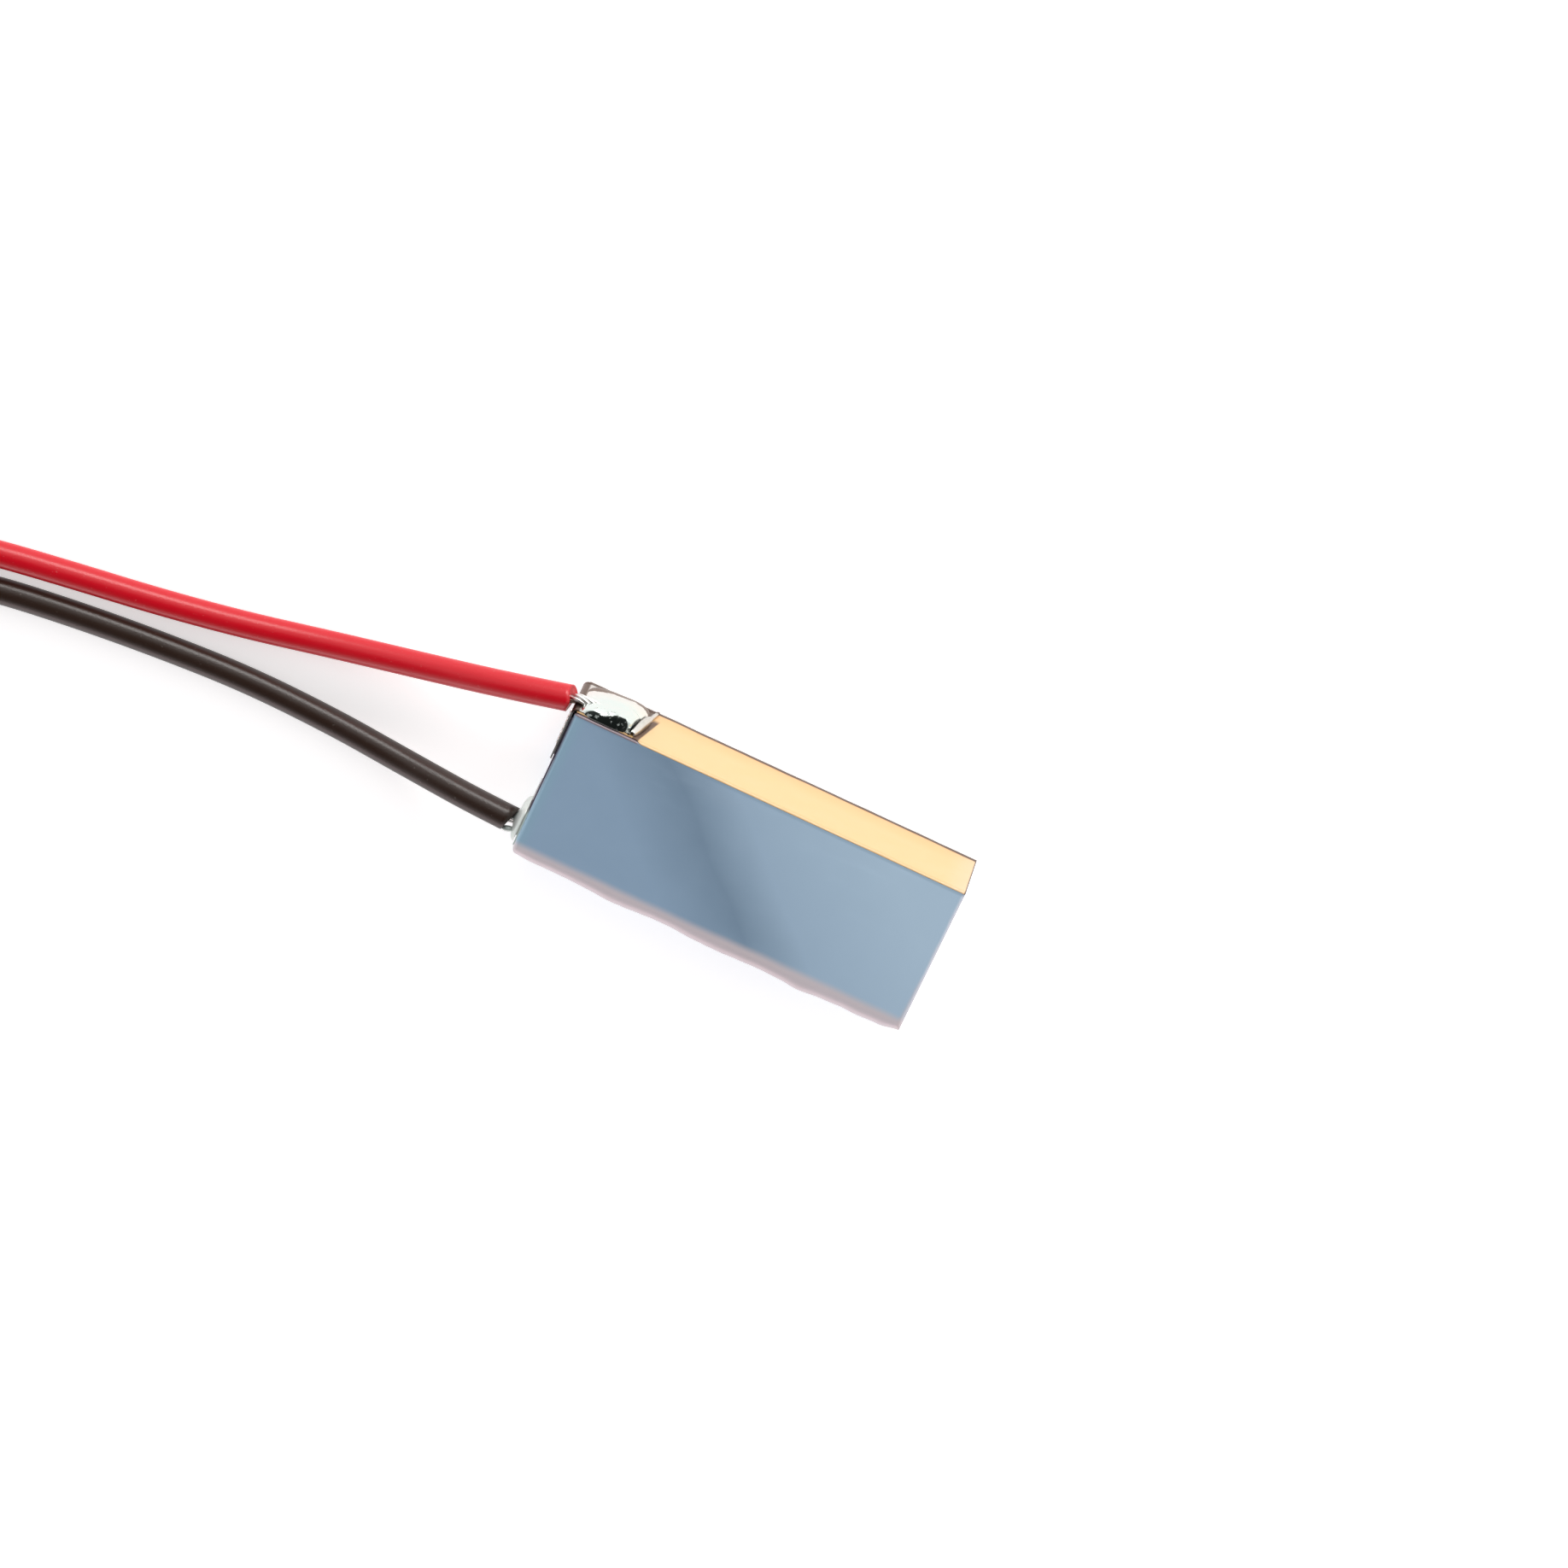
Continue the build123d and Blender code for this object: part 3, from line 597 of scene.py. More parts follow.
class FoldedCover:
    """The flat half of the pouch: its top face, three skirts turned down and the far-end fold."""

    columns, rows = 150, 60
    turns, drops = 8, 26
    end_edge = 1.0 * MM
    merge = 2e-6

    def __init__(self, sizes):
        self.sizes = sizes
        self.end_line = TAB_END + sizes.end_bend
        self.far_line = FAR_END - sizes.far_bend
        # The line where each long side's bend starts, its radius and its direction.
        self.sides = (
            (HALF_WIDTH - sizes.taped_bend, sizes.taped_bend, 1),
            (-HALF_WIDTH + sizes.plain_bend, sizes.plain_bend, -1),
        )
        self.points = []
        self.faces = []

    def shape(self, x, y, z):
        """Presses the flat form into its soft, handled shape."""
        u, v = x / MM, y / MM
        inside = smooth_step(0, 1.6, HALF_LENGTH_MM - abs(u)) * smooth_step(0, 1.3, HALF_WIDTH_MM - abs(v))
        across = u + 0.80 * v
        trough = bell(across, 0.2, 2.0) * 0.9 + bell(across, -7.0, 2.6) * 0.25
        rolling = 0.35 * soft_noise(u * 0.22, v * 0.35, 4.7) + 0.12
        near_top = smooth_step(TOP - 0.7 * MM, TOP - 0.1 * MM, z)
        z -= self.sizes.dent * max(trough + rolling, 0) * inside * near_top
        plain_side = smooth_step(-HALF_WIDTH + 0.7 * MM, -HALF_WIDTH + 0.1 * MM, y)
        wave = bell(u, -4.6, 1.6) + 0.9 * bell(u, 4.9, 0.9) + 0.5 * bell(u, 0.5, 1.4)
        wave += 0.5 * abs(soft_noise(u * 0.7, 9.1, 0))
        wave += 0.5 + 0.6 * smooth_step(-3, 0, u)
        ends = smooth_step(0, 1.0, HALF_LENGTH_MM - abs(u))
        y -= self.sizes.ripple * wave * ends * plain_side * (0.35 + 0.65 * bell(z / TOP, 0.75, 0.4))
        return Vector((x, y, z))

    def add_grid(self, grid):
        """Adds a grid of flat-form points and its faces."""
        self.faces += grid_faces(len(grid), len(grid[0]), len(self.points))
        self.points += [self.shape(*point) for row in grid for point in row]

    def bend(self, radius, angle):
        """How far out and how far down a point on a bend lies."""
        return radius * math.sin(angle), radius * (1 - math.cos(angle))

    def down_profile(self, radius, edge):
        """Outward and downward places from a bend's start to the skirt's edge."""
        places = [self.bend(radius, angle) for angle in spread(0, math.pi / 2, self.turns)]
        return places + [(radius, drop) for drop in spread(radius, TOP - edge, self.drops)[1:]]

    def corner(self, side_line, side_bend, sign):
        """The rounded corner between the tab end's bend and a long side's bend."""
        end_bend = self.sizes.end_bend
        grid = []
        for swing in spread(0, math.pi / 2, self.turns):
            drop_radius = end_bend * math.cos(swing) ** 2 + side_bend * math.sin(swing) ** 2
            grid.append([(
                self.end_line - end_bend * math.sin(angle) * math.cos(swing),
                side_line + sign * side_bend * math.sin(angle) * math.sin(swing),
                TOP - drop_radius * (1 - math.cos(angle)),
            ) for angle in spread(0, math.pi / 2, self.turns)])
        return grid

    def build(self, material):
        """The whole cover, with its wall inside the face."""
        sizes = self.sizes
        far = [self.bend(sizes.far_bend, angle) for angle in spread(0, math.radians(60), 5)[1:]]
        xs = [(x, 0) for x in spread(self.end_line, self.far_line, self.columns)]
        xs += [(self.far_line + out, drop) for out, drop in far]
        ys = spread(self.sides[1][0], self.sides[0][0], self.rows)[::-1]
        self.add_grid([[(x, y, TOP - drop) for x, drop in xs] for y in ys])
        for line, radius, sign in self.sides:
            skirt = [
                [(x, line + sign * out, TOP - max(drop, fall)) for x, fall in xs]
                for out, drop in self.down_profile(radius, COVER_LOW.z)
            ]
            self.add_grid(skirt[::-sign])
        end = self.down_profile(sizes.end_bend, self.end_edge)[::-1]
        self.add_grid([[(self.end_line - out, y, TOP - drop) for out, drop in end] for y in ys])
        for side in self.sides:
            self.add_grid(self.corner(*side)[::side[2]])
        made = tidy_mesh(piece_from("pouch_cover_film", self.points, self.faces, material), self.merge)
        face_towards(made, Vector((0, 0, 1)))
        return thicken(made, sizes.film)


def ribbon(path, low, high, thickness, count, warp=None):
    """A strip of even thickness along an XY path, standing from low to high."""
    half = thickness / 2
    outer = []
    for number, point in enumerate(path):
        before = path[max(number - 1, 0)]
        after = path[min(number + 1, len(path) - 1)]
        along = (after - before).normalized()
        across = Vector((-along.y, along.x))
        outer.append((point + across * half, point - across * half))
    heights = spread(low, high, count)
    points = []
    for left, right in outer:
        for z in heights:
            points.append(Vector((left.x, left.y, z)))
        for z in reversed(heights):
            points.append(Vector((right.x, right.y, z)))
    loop = 2 * len(heights)
    if warp:
        points = [warp(point) for point in points]
    faces = []
    for ring in range(len(outer) - 1):
        for side in range(loop):
            a = ring * loop + side
            b = ring * loop + (side + 1) % loop
            faces.append((a, b, b + loop, a + loop))
    for ring, flip in ((0, True), (len(outer) - 1, False)):
        for step in range(len(heights) - 1):
            a = ring * loop + step
            b = ring * loop + loop - 1 - step
            quad = (a, a + 1, b - 1, b)
            faces.append(quad[::-1] if flip else quad)
    return points, faces


def strip_line(corners, radii, gap, steps=8):
    """The line of a bent metal strip seen from above, with points no further apart than gap."""
    path = [Vector(corners[0])]
    for before, corner, after, radius in zip(corners, corners[1:], corners[2:], radii):
        corner = Vector(corner)
        back = (Vector(before) - corner).normalized()
        ahead = (Vector(after) - corner).normalized()
        half = back.angle(ahead) / 2
        middle = corner + (back + ahead).normalized() * (radius / math.sin(half))
        start = corner + back * (radius / math.tan(half)) - middle
        sweep = math.copysign(math.pi - 2 * half, -back.cross(ahead))
        path += [middle + Matrix.Rotation(angle, 2) @ start for angle in spread(0, sweep, steps)]
    path.append(Vector(corners[-1]))
    fine = [path[0]]
    for before, after in zip(path, path[1:]):
        pieces = max(1, math.ceil((after - before).length / gap))
        fine += [before.lerp(after, step / pieces) for step in range(1, pieces + 1)]
    return fine


def ring_faces(outer, inner, segments, flip=False):
    """Quads between two rings of points."""
    faces = []
    for segment in range(segments):
        after = (segment + 1) % segments
        quad = (outer + segment, outer + after, inner + after, inner + segment)
        faces.append(quad[::-1] if flip else quad)
    return faces


def dome(name, middle, out, reach, rise, height, material, squareness, rings=34, segments=96):
    """A mound on an upright face, reach by rise from its middle, with height(a, b, share, turn)."""
    up = Vector((0, 0, 1))
    side = out.cross(up)
    points = [middle + out * height(0, 0, 0, 0)]
    for ring in range(1, rings + 1):
        share = math.sin(math.pi / 2 * ring / rings)
        for segment in range(segments):
            turn = 2 * math.pi * segment / segments
            cosine, sine = math.cos(turn), math.sin(turn)
            norm = (abs(cosine) ** squareness + abs(sine) ** squareness) ** (-1 / squareness)
            a, b = share * cosine * norm, share * sine * norm
            tall = height(a, b, share, turn) if ring < rings else 0
            points.append(middle + side * (a * reach) + up * (b * rise) + out * tall)
    points.append(middle)
    last = len(points) - 1
    faces = [(0, 1 + segment, 1 + (segment + 1) % segments) for segment in range(segments)]
    for ring in range(rings - 1):
        start = 1 + ring * segments
        faces += ring_faces(start, start + segments, segments)
    rim = 1 + (rings - 1) * segments
    faces += [(last, rim + (segment + 1) % segments, rim + segment) for segment in range(segments)]
    return tidy_mesh(piece_from(name, points, faces, material))


def route_curve(name, route):
    """A smooth curve with the route's points as its control points."""
    curve = bpy.data.curves.new(name, "CURVE")
    curve.dimensions = "3D"
    curve.resolution_u = 24
    spline = curve.splines.new("NURBS")
    spline.points.add(len(route) - 1)
    for point, place in zip(spline.points, route):
        point.co = (*place, 1)
    spline.order_u = 3
    spline.use_endpoint_u = True
    return add_object(name, curve)


def route_points(route):
    """The points along a route's smooth curve."""
    mesh = final_mesh(route_curve("route", route))
    points = [vertex.co.copy() for vertex in mesh.vertices]
    bpy.data.meshes.remove(mesh)
    return points


def path_length(points):
    """The length along points."""
    return sum((after - before).length for before, after in zip(points, points[1:]))


def neighbours_direction(points, number):
    """The direction from the point before to the point after."""
    return (points[min(number + 1, len(points) - 1)] - points[max(number - 1, 0)]).normalized()


def tube(name, points, radius, material, cut=None, segments=48):
    """A round tube along points, with its ends trimmed as cut(direction, first) says, or drop-shaped."""
    last = len(points) - 1
    normal = neighbours_direction(points, 0).orthogonal().normalized()
    total = path_length(points)
    rings, uvs, travelled = [], [], 0
    for number, point in enumerate(points):
        tangent = neighbours_direction(points, number)
        if number:
            travelled += (point - points[number - 1]).length
            normal = (normal - tangent * normal.dot(tangent)).normalized()
        other = tangent.cross(normal)
        wide = radius if cut else radius * max(1 - abs(2 * travelled / total - 1) ** 3, 0.02) ** 0.5
        for segment in range(segments):
            angle = 2 * math.pi * segment / segments
            direction = normal * math.cos(angle) + other * math.sin(angle)
            place = point + direction * wide
            if cut and number in (0, last):
                place += tangent * cut(direction, number == 0)
            rings.append(place)
            uvs.append((travelled / MM, segment / segments))
    faces = []
    for ring in range(last):
        faces += ring_faces(ring * segments, (ring + 1) * segments, segments)
    for number in (0, last):
        start = previous = number * segments
        rim = rings[start:start + segments]
        hub_place = sum(rim, Vector()) / segments
        for inset in (0.90, 0.74):
            faces += ring_faces(previous, len(rings), segments, number == 0)
            previous = len(rings)
            rings += [hub_place + (place - hub_place) * inset for place in rim]
        hub = len(rings)
        rings.append(hub_place)
        uvs += [uvs[start]] * (len(rings) - len(uvs))
        faces += [(previous + step, previous + (step + 1) % segments, hub) for step in range(segments)]
    return tidy_mesh(piece_from(name, rings, faces, material, uvs=uvs), FINE_MERGE)


# Geometry Nodes


class GeometryTree(Graph):
    """A Geometry Nodes tree with named inputs."""

    def __init__(self, name, **inputs):
        super().__init__(bpy.data.node_groups.new(name, "GeometryNodeTree"))
        self.tree.is_modifier = True
        sockets = self.tree.interface
        sockets.new_socket("Geometry", in_out="INPUT", socket_type="NodeSocketGeometry")
        sockets.new_socket("Geometry", in_out="OUTPUT", socket_type="NodeSocketGeometry")
        for label, kind in inputs.items():
            sockets.new_socket(label, in_out="INPUT", socket_type="NodeSocket" + kind)
        given = self.node("NodeGroupInput", output=None)
        self.given = {socket.name: Value(self, socket) for socket in given.outputs}

    def circle(self, resolution, radius):
        inputs = {"Resolution": resolution, "Radius": radius}
        return self.node("GeometryNodeCurvePrimitiveCircle", inputs)

    def join(self, *geometries):
        joined = self.node("GeometryNodeJoinGeometry", output=None)
        for geometry in geometries:
            self.feed(joined.inputs[0], geometry)
        return Value(self, joined.outputs[0])

    def finish(self, geometry, material):
        """Realizes instances, sets the material and gives the result."""
        real = self.node("GeometryNodeRealizeInstances", [geometry])
        painted = self.node("GeometryNodeSetMaterial", {"Geometry": real, "Material": material})
        self.node("NodeGroupOutput", {"Geometry": painted}, None)
        return self

    def use(self, made, **values):
        """Puts the tree on an object with these inputs and gives its plain mesh."""
        modify(made, self.tree.name, "NODES", node_group=self.tree)
        for item in self.tree.interface.items_tree:
            if item.in_out == "INPUT" and item.name in values:
                made.modifiers[0][item.identifier] = values[item.name]
        name, mesh = made.name, final_mesh(made)
        mesh.name = name
        return add_object(name, mesh)


def strand_tree(material):
    """Twisted round strands along a curve: one in the middle and the rest round it."""
    tree = GeometryTree("twisted_strands", radius="Float", outer_count="Int", twist="Float")
    given = tree.given
    strand = tree.circle(14, given["radius"])
    outer = {"Vertices": given["outer_count"], "Radius": given["radius"] * 2.0}
    places = tree.join(
        tree.node("GeometryNodeMeshCircle", outer),
        tree.node("GeometryNodeMeshLine", {"Count": 1}, mode="OFFSET"),
    )
    profile = tree.node("GeometryNodeInstanceOnPoints", {"Points": places, "Instance": strand})
    profile = tree.node("GeometryNodeRealizeInstances", [profile])
    tilt = tree.node("GeometryNodeSplineParameter", output="Factor") * given["twist"]
    fine = tree.node("GeometryNodeResampleCurve", {"Curve": given["Geometry"], "Count": 70})
    turned = tree.node("GeometryNodeSetCurveTilt", {"Curve": fine, "Tilt": tilt})
    swept = {"Curve": turned, "Profile Curve": profile, "Fill Caps": True}
    return tree.finish(tree.node("GeometryNodeCurveToMesh", swept), material)


def weld_tree(material):
    """Spot welds in rows on an upright strip: small raised rings with a sunken middle."""
    sizes = {"radius": "Float", "width": "Float", "height": "Float", "columns": "Int", "rows": "Int"}
    tree = GeometryTree("spot_welds", **sizes)
    given, radius = tree.given, tree.given["radius"]
    grid = tree.node("GeometryNodeMeshGrid", {
        "Size X": given["width"], "Size Y": given["height"],
        "Vertices X": given["columns"], "Vertices Y": given["rows"],
    })
    rim = {"Curve": tree.circle(24, radius), "Profile Curve": tree.circle(8, radius * 0.26)}
    weld = tree.join(
        tree.node("GeometryNodeCurveToMesh", rim),
        tree.node("GeometryNodeMeshCone", {
            "Vertices": 24, "Radius Top": radius * 0.35, "Radius Bottom": radius, "Depth": radius * 0.12,
        }),
    )
    welds = tree.node("GeometryNodeInstanceOnPoints", {"Points": grid, "Instance": weld})
    upright = {"Geometry": welds, "Rotation": (0, -math.pi / 2, 0)}
    return tree.finish(tree.node("GeometryNodeTransform", upright), material)


# Operators


class Step:
    """What the operators that make or finish pieces share."""

    def execute(self, context):
        self.make(context.scene.cell_sizes, context.scene.cell_colours)
        return {"FINISHED"}


class CELL_OT_pouch(Step, bpy.types.Operator):
    """Makes the folded cover and finishes the drawn cup"""

    bl_idname = "pouch_cell.pouch"
    bl_label = "Pouch"

    def make(self, sizes, shades):
        film = pouch_finish(shades)
        hold(FoldedCover(sizes).build(film), "pouch_film", "pouch_cover")
        paint("pouch_cup", film)


class CELL_OT_tapes(Step, bpy.types.Operator):
    """Makes the side tape and finishes the end tape"""

    bl_idname = "pouch_cell.tapes"
    bl_label = "Tapes"

    # How far the side tape goes round the cover's bend, in how many turns, and what it loses by the end.
    wrap, turns, thinning = math.radians(58), 6, 0.048 * MM

    def make(self, sizes, shades):
        self.make_side_tape(sizes, side_tape_finish(shades))
        paint("end_tape", end_tape_finish())

    def over_the_edge(self, sizes, angle):
        """A point of the tape where it thins out round the cover's bend."""
        middle = Vector((HALF_WIDTH - sizes.taped_bend, TOP - sizes.taped_bend))
        reach = sizes.taped_bend + sizes.tape - self.thinning * math.sin(angle)
        return middle + Vector((math.cos(angle), math.sin(angle))) * reach

    def make_side_tape(self, sizes, finish):
        """A thin sheet with soft ripples, round the cover's bend except above the solder."""
        low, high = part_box("side_tape")
        path = [Vector((high.y - 0.24 * MM, low.z)), Vector((high.y, low.z))]
        path += [Vector((high.y, z)) for z in spread(low.z, TOP - sizes.taped_bend, 30)[1:]]
        xs = spread(TAB_END + 0.06 * MM, FAR_END - 0.02 * MM, 160)
        points = []
        for x in xs:
            u = x / MM
            wrap = self.wrap * (0.05 + 0.95 * smooth_step(-6.95, -6.60, u))
            round_bend = [self.over_the_edge(sizes, angle) for angle in spread(0, wrap, self.turns)[1:]]
            for y, z in path + round_bend:
                body = smooth_step(HALF_WIDTH - 0.02 * MM, HALF_WIDTH + 0.05 * MM, y)
                swell = 0.016 * soft_noise(u * 0.8, z / MM * 1.1, 2.0) * body
                points.append(Vector((x, y + swell * MM, z)))
        faces = grid_faces(len(xs), len(path) + self.turns, flip=True)
        made = tidy_mesh(piece_from("side_tape_film", points, faces, finish), outwards=False)
        face_towards(made, Vector((0, 1, 0)))
        hold(thicken(made, sizes.tape * 0.8), "polyimide_tape", "side_tape")


class CELL_OT_tabs(Step, bpy.types.Operator):
    """Finishes the tabs and their films"""

    bl_idname = "pouch_cell.tabs"
    bl_label = "Tabs"

    def make(self, sizes, shades):
        upwards = (1, 1, 0.05)
        paint("positive_tab", rolled_metal("aluminium_tab", (0.80, 0.81, 0.82), 0.30, upwards))
        paint("negative_tab", rolled_metal("nickel_tab", shades.nickel, 0.26, upwards))
        film = grain_finish("sealing_film", (0.80, 0.78, 0.66), (0.70, 0.66, 0.50), 2400, 0.32, IOR=1.49)
        paint("positive_tab_films", film)
        paint("negative_tab_films", film)


class CELL_OT_nickel_strip(Step, bpy.types.Operator):
    """Makes the nickel strip that turns round the corner, its welds and its turned-out end"""

    bl_idname = "pouch_cell.nickel_strip"
    bl_label = "Nickel strip"

    # The hemmed end: how wide it is, how far it stands out, and its tips' middle height and reach.
    hem, crest = 0.36 * MM, 0.34 * MM
    tips_middle, tips_reach = 2.6 * MM, 1.32 * MM
    tips_narrowing, tips_sinking = 0.65, 0.75
    bends = (0.21 * MM, 0.06 * MM, 0.15 * MM, 0.15 * MM)

    def make(self, sizes, shades):
        metal = rolled_metal("nickel", shades.nickel, 0.24, (0.05, 1, 1), strip_painted_shade)
        low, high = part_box("nickel_strip")
        half = sizes.nickel / 2
        tab_line, side_line = low.x + half, HALF_WIDTH + sizes.tape + half
        end = high.x - half
        start = end - self.hem
        crest = side_line + self.crest
        corners = [
            (tab_line, low.y), (tab_line, side_line), (start, side_line), (start, crest), (end, crest),
            (end, side_line - 0.01 * MM),
        ]
        path = strip_line(corners, self.bends, 0.12 * MM)
        middle_x, middle_z = end - self.hem / 2, (low.z + high.z) / 2

        def lean(point):
            """The hemmed end leans, and narrows and sinks to its rounded tips."""
            along = smooth_step(start - 0.3 * MM, start, point.x)
            tip = min(abs(point.z - self.tips_middle) / self.tips_reach, 1) ** 3
            if point.x > start - half:
                point.x = middle_x + (point.x - middle_x) * (1 - self.tips_narrowing * tip)
            point.y -= max(point.y - side_line - half, 0) * self.tips_sinking * tip
            point.x += along * (middle_z - point.z) * HEM_LEAN
            return point

        points, faces = ribbon(path, low.z, high.z, sizes.nickel, 24, lean)
        strip = tidy_mesh(piece_from("nickel_strip_metal", points, faces, metal))
        modify(strip, "edges", "BEVEL", width=0.015 * MM, segments=2, limit_method="ANGLE")
        hold(strip, "nickel", "nickel_strip")
        self.make_welds(low.x, metal)

    def make_welds(self, face, metal):
        """Spot welds that join the strip to the positive tab."""
        low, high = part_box("positive_tab")
        welds = weld_tree(metal).use(
            piece_from("strip_welds", [], [], metal), radius=0.16 * MM, width=1.3 * MM, height=1.0 * MM,
            columns=3, rows=2,
        )
        middle = Vector((face - 0.004 * MM, (low.y + high.y) / 2, 2.0 * MM))
        welds.data.transform(Matrix.Translation(middle))
        hold(tidy_mesh(welds, FINE_MERGE), "nickel")


class CELL_OT_solder(Step, bpy.types.Operator):
    """Makes the two solder joints"""

    bl_idname = "pouch_cell.solder"
    bl_label = "Solder"

    def make(self, sizes, shades):
        self.make_positive(solder_finish("solder", shades, 1.0, 0.10))
        self.make_negative(solder_finish("dull_solder", shades, 0.4, 0.34))

    def make_positive(self, finish):
        """The large mound, steep beside the pouch's face and full towards the hemmed end."""
        low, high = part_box("positive_solder")
        low += Vector((0.05, 0, -0.22)) * MM
        high += Vector((0.10, 0, 0.16)) * MM
        middle = (low + high) / 2
        middle.y = low.y - 0.10 * MM
        tall = high.y - middle.y

        def flowed(a, b, share, turn):
            full = smooth_step(-0.95, 0.75, a)
            wander = 1 + 0.7 * soft_noise(a * 5.0, 0, 4.4)
            wall = 2.6 + 22 * max(math.sin(turn), 0) ** 1.5 * (0.15 + 0.85 * full) * wander
            lift = max(1 - share ** wall, 0) ** 0.5
            near_top = smooth_step(0.5, 0.95, b)
            jag = soft_noise(a * 11.0, b * 16.0, 1.3)
            jag += soft_noise(a * 23.0, b * 30.0, 8.3) * 0.5
            swell = 0.05 * soft_noise(a * 2.2, b * 2.0, 6.1)
            return tall * lift * min(0.68 + 0.26 * full + swell + 0.13 * jag * near_top, 1)

        mound = dome(
            "positive_solder_mound", middle, Vector((0, 1, 0)), (high.x - low.x) / 2, (high.z - low.z) / 2,
            flowed, finish, 5.0,
        )
        for vertex in mound.data.vertices:
            along = smooth_step(-9.0 * MM, -7.2 * MM, vertex.co.x)
            vertex.co.x += (middle.z - vertex.co.z) * HEM_LEAN * along
        hold(mound, "solder", "positive_solder")

    def make_negative(self, finish):
        """Solder spread over the negative tab, which climbs the strands, and a drip beside the lead."""
        low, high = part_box("negative_solder")
        joint_low, joint_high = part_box("black_conductor")
        low.y -= 0.50 * MM
        high.y -= 0.58 * MM
        middle = (low + high) / 2
        middle.x = high.x + 0.005 * MM
        reach, rise = (high.y - low.y) / 2, (high.z - low.z) / 2
        joint_a = ((joint_low.y + joint_high.y) / 2 + 0.1 * MM - middle.y) / reach
        joint_b = (2.40 * MM - middle.z) / rise

        def wicked(a, b, share, turn):
            lift = max(1 - share ** 5, 0) ** 0.6
            climb = bell(math.hypot((a - joint_a) * reach, (b - joint_b) * rise), 0, 0.36 * MM)
            swell = 0.03 * soft_noise(a * 2.5, b * 2.5, 3.3)
            return (0.29 + swell + 0.20 * climb) * lift * MM

        pad = dome("negative_solder_pad", middle, Vector((-1, 0, 0)), reach, rise, wicked, finish, 4.0)
        hold(pad, "solder", "negative_solder")
        black = Vector(BLACK_ROUTE[0])
        start = Vector((low.x + 0.2 * MM, black.y - 0.42 * MM, black.z - 0.05 * MM))
        end = black + Vector((-0.10, -0.56, 0.02)) * MM
        path = route_points([start, (start + end) / 2 + Vector((0, -0.05, 0.08)) * MM, end])
        hold(tube("negative_solder_drip", path, 0.15 * MM, finish), "solder")


class CELL_OT_conductors(Step, bpy.types.Operator):
    """Makes the bare and tinned strands at both ends of each lead"""

    bl_idname = "pouch_cell.conductors"
    bl_label = "Conductors"

    def make(self, sizes, shades):
        bundles = [
            ("red_strands", self.red_path(sizes), "red_conductor", sizes.strands, 5.0),
            ("black_strands", self.black_path(), "black_conductor", sizes.strands, 2.5),
        ]
        for name, node in (("red_tinned_end", "red_tip"), ("black_tinned_end", "black_tip")):
            low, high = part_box(node)
            y, z = (low.y + high.y) / 2, (low.z + high.z) / 2
            path = [Vector((x, y, z)) for x in spread(high.x + 0.4 * MM, low.x, 3)]
            bundles.append((name, path, node, high.y - low.y, 6.0))
        tree = strand_tree(rolled_metal("tinned_copper", (0.74, 0.74, 0.72), 0.24, (1, 1, 1), strand_painted_shade))
        for name, path, node, diameter, twist in bundles:
            strands = tree.use(
                route_curve(name, path), radius=diameter / 6, outer_count=sizes.strand_count, twist=twist
            )
            hold(tidy_mesh(strands, STRAND_MERGE), "tinned_copper", node)

    def red_path(self, sizes):
        """From inside the red insulation, along the nickel strip, into the mound."""
        red, after = Vector(RED_ROUTE[0]), Vector(RED_ROUTE[1])
        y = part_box("red_conductor")[1].y - sizes.strands / 2 - 0.03 * MM
        seat = 3.0 * MM
        places = ((-0.12 * MM, seat), (0.6 * MM, seat), (1.6 * MM, seat - 0.1 * MM))
        inside = red - (red - after).normalized() * 0.4 * MM
        return [inside, red] + [Vector((TAB_END + x, y, z)) for x, z in places]

    def black_path(self):
        """From inside the black insulation to the negative tab."""
        black, after = Vector(BLACK_ROUTE[0]), Vector(BLACK_ROUTE[1])
        low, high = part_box("black_conductor")
        y = (low.y + high.y) / 2
        places = ((high.x - 0.2 * MM, y + 0.1 * MM), (high.x, y + 0.14 * MM))
        inside = black + (after - black).normalized() * 0.4 * MM
        return [inside, black] + [Vector((x, y, black.z)) for x, y in places]


class CELL_OT_leads(Step, bpy.types.Operator):
    """Makes the two insulated leads"""

    bl_idname = "pouch_cell.leads"
    bl_label = "Leads"

    def make(self, sizes, shades):
        def red_cut(direction, near_cell):
            """A blunt wedge, cut back further on the side away from the solder."""
            back = 0.15 * max(direction.y, 0) + 0.30 * max(-direction.y, 0) - 0.04
            return back * MM if near_cell else 0.02 * direction.z * MM

        def black_cut(direction, near_cell):
            """A cut that leans the other way, so the strands show beside it."""
            return (-0.22 * direction.y - 0.10) * MM if near_cell else 0.02 * direction.y * MM

        red = insulation_finish("red_insulation", shades.red, 0.01, 0.50, 0.26)
        black = insulation_finish("black_insulation", shades.black, 0.005, 0.46, 0.28)
        for name, route, finish, cut in (
            ("red", RED_ROUTE, red, red_cut), ("black", BLACK_ROUTE, black, black_cut)
        ):
            points = route_points(route)
            # A hair thinner than the solid lead, so that it stays inside the solid's box.
            lead = tube(name + "_lead_insulation", points, sizes.lead * 0.498, finish, cut)
            hold(lead, name + "_insulation", name + "_lead")


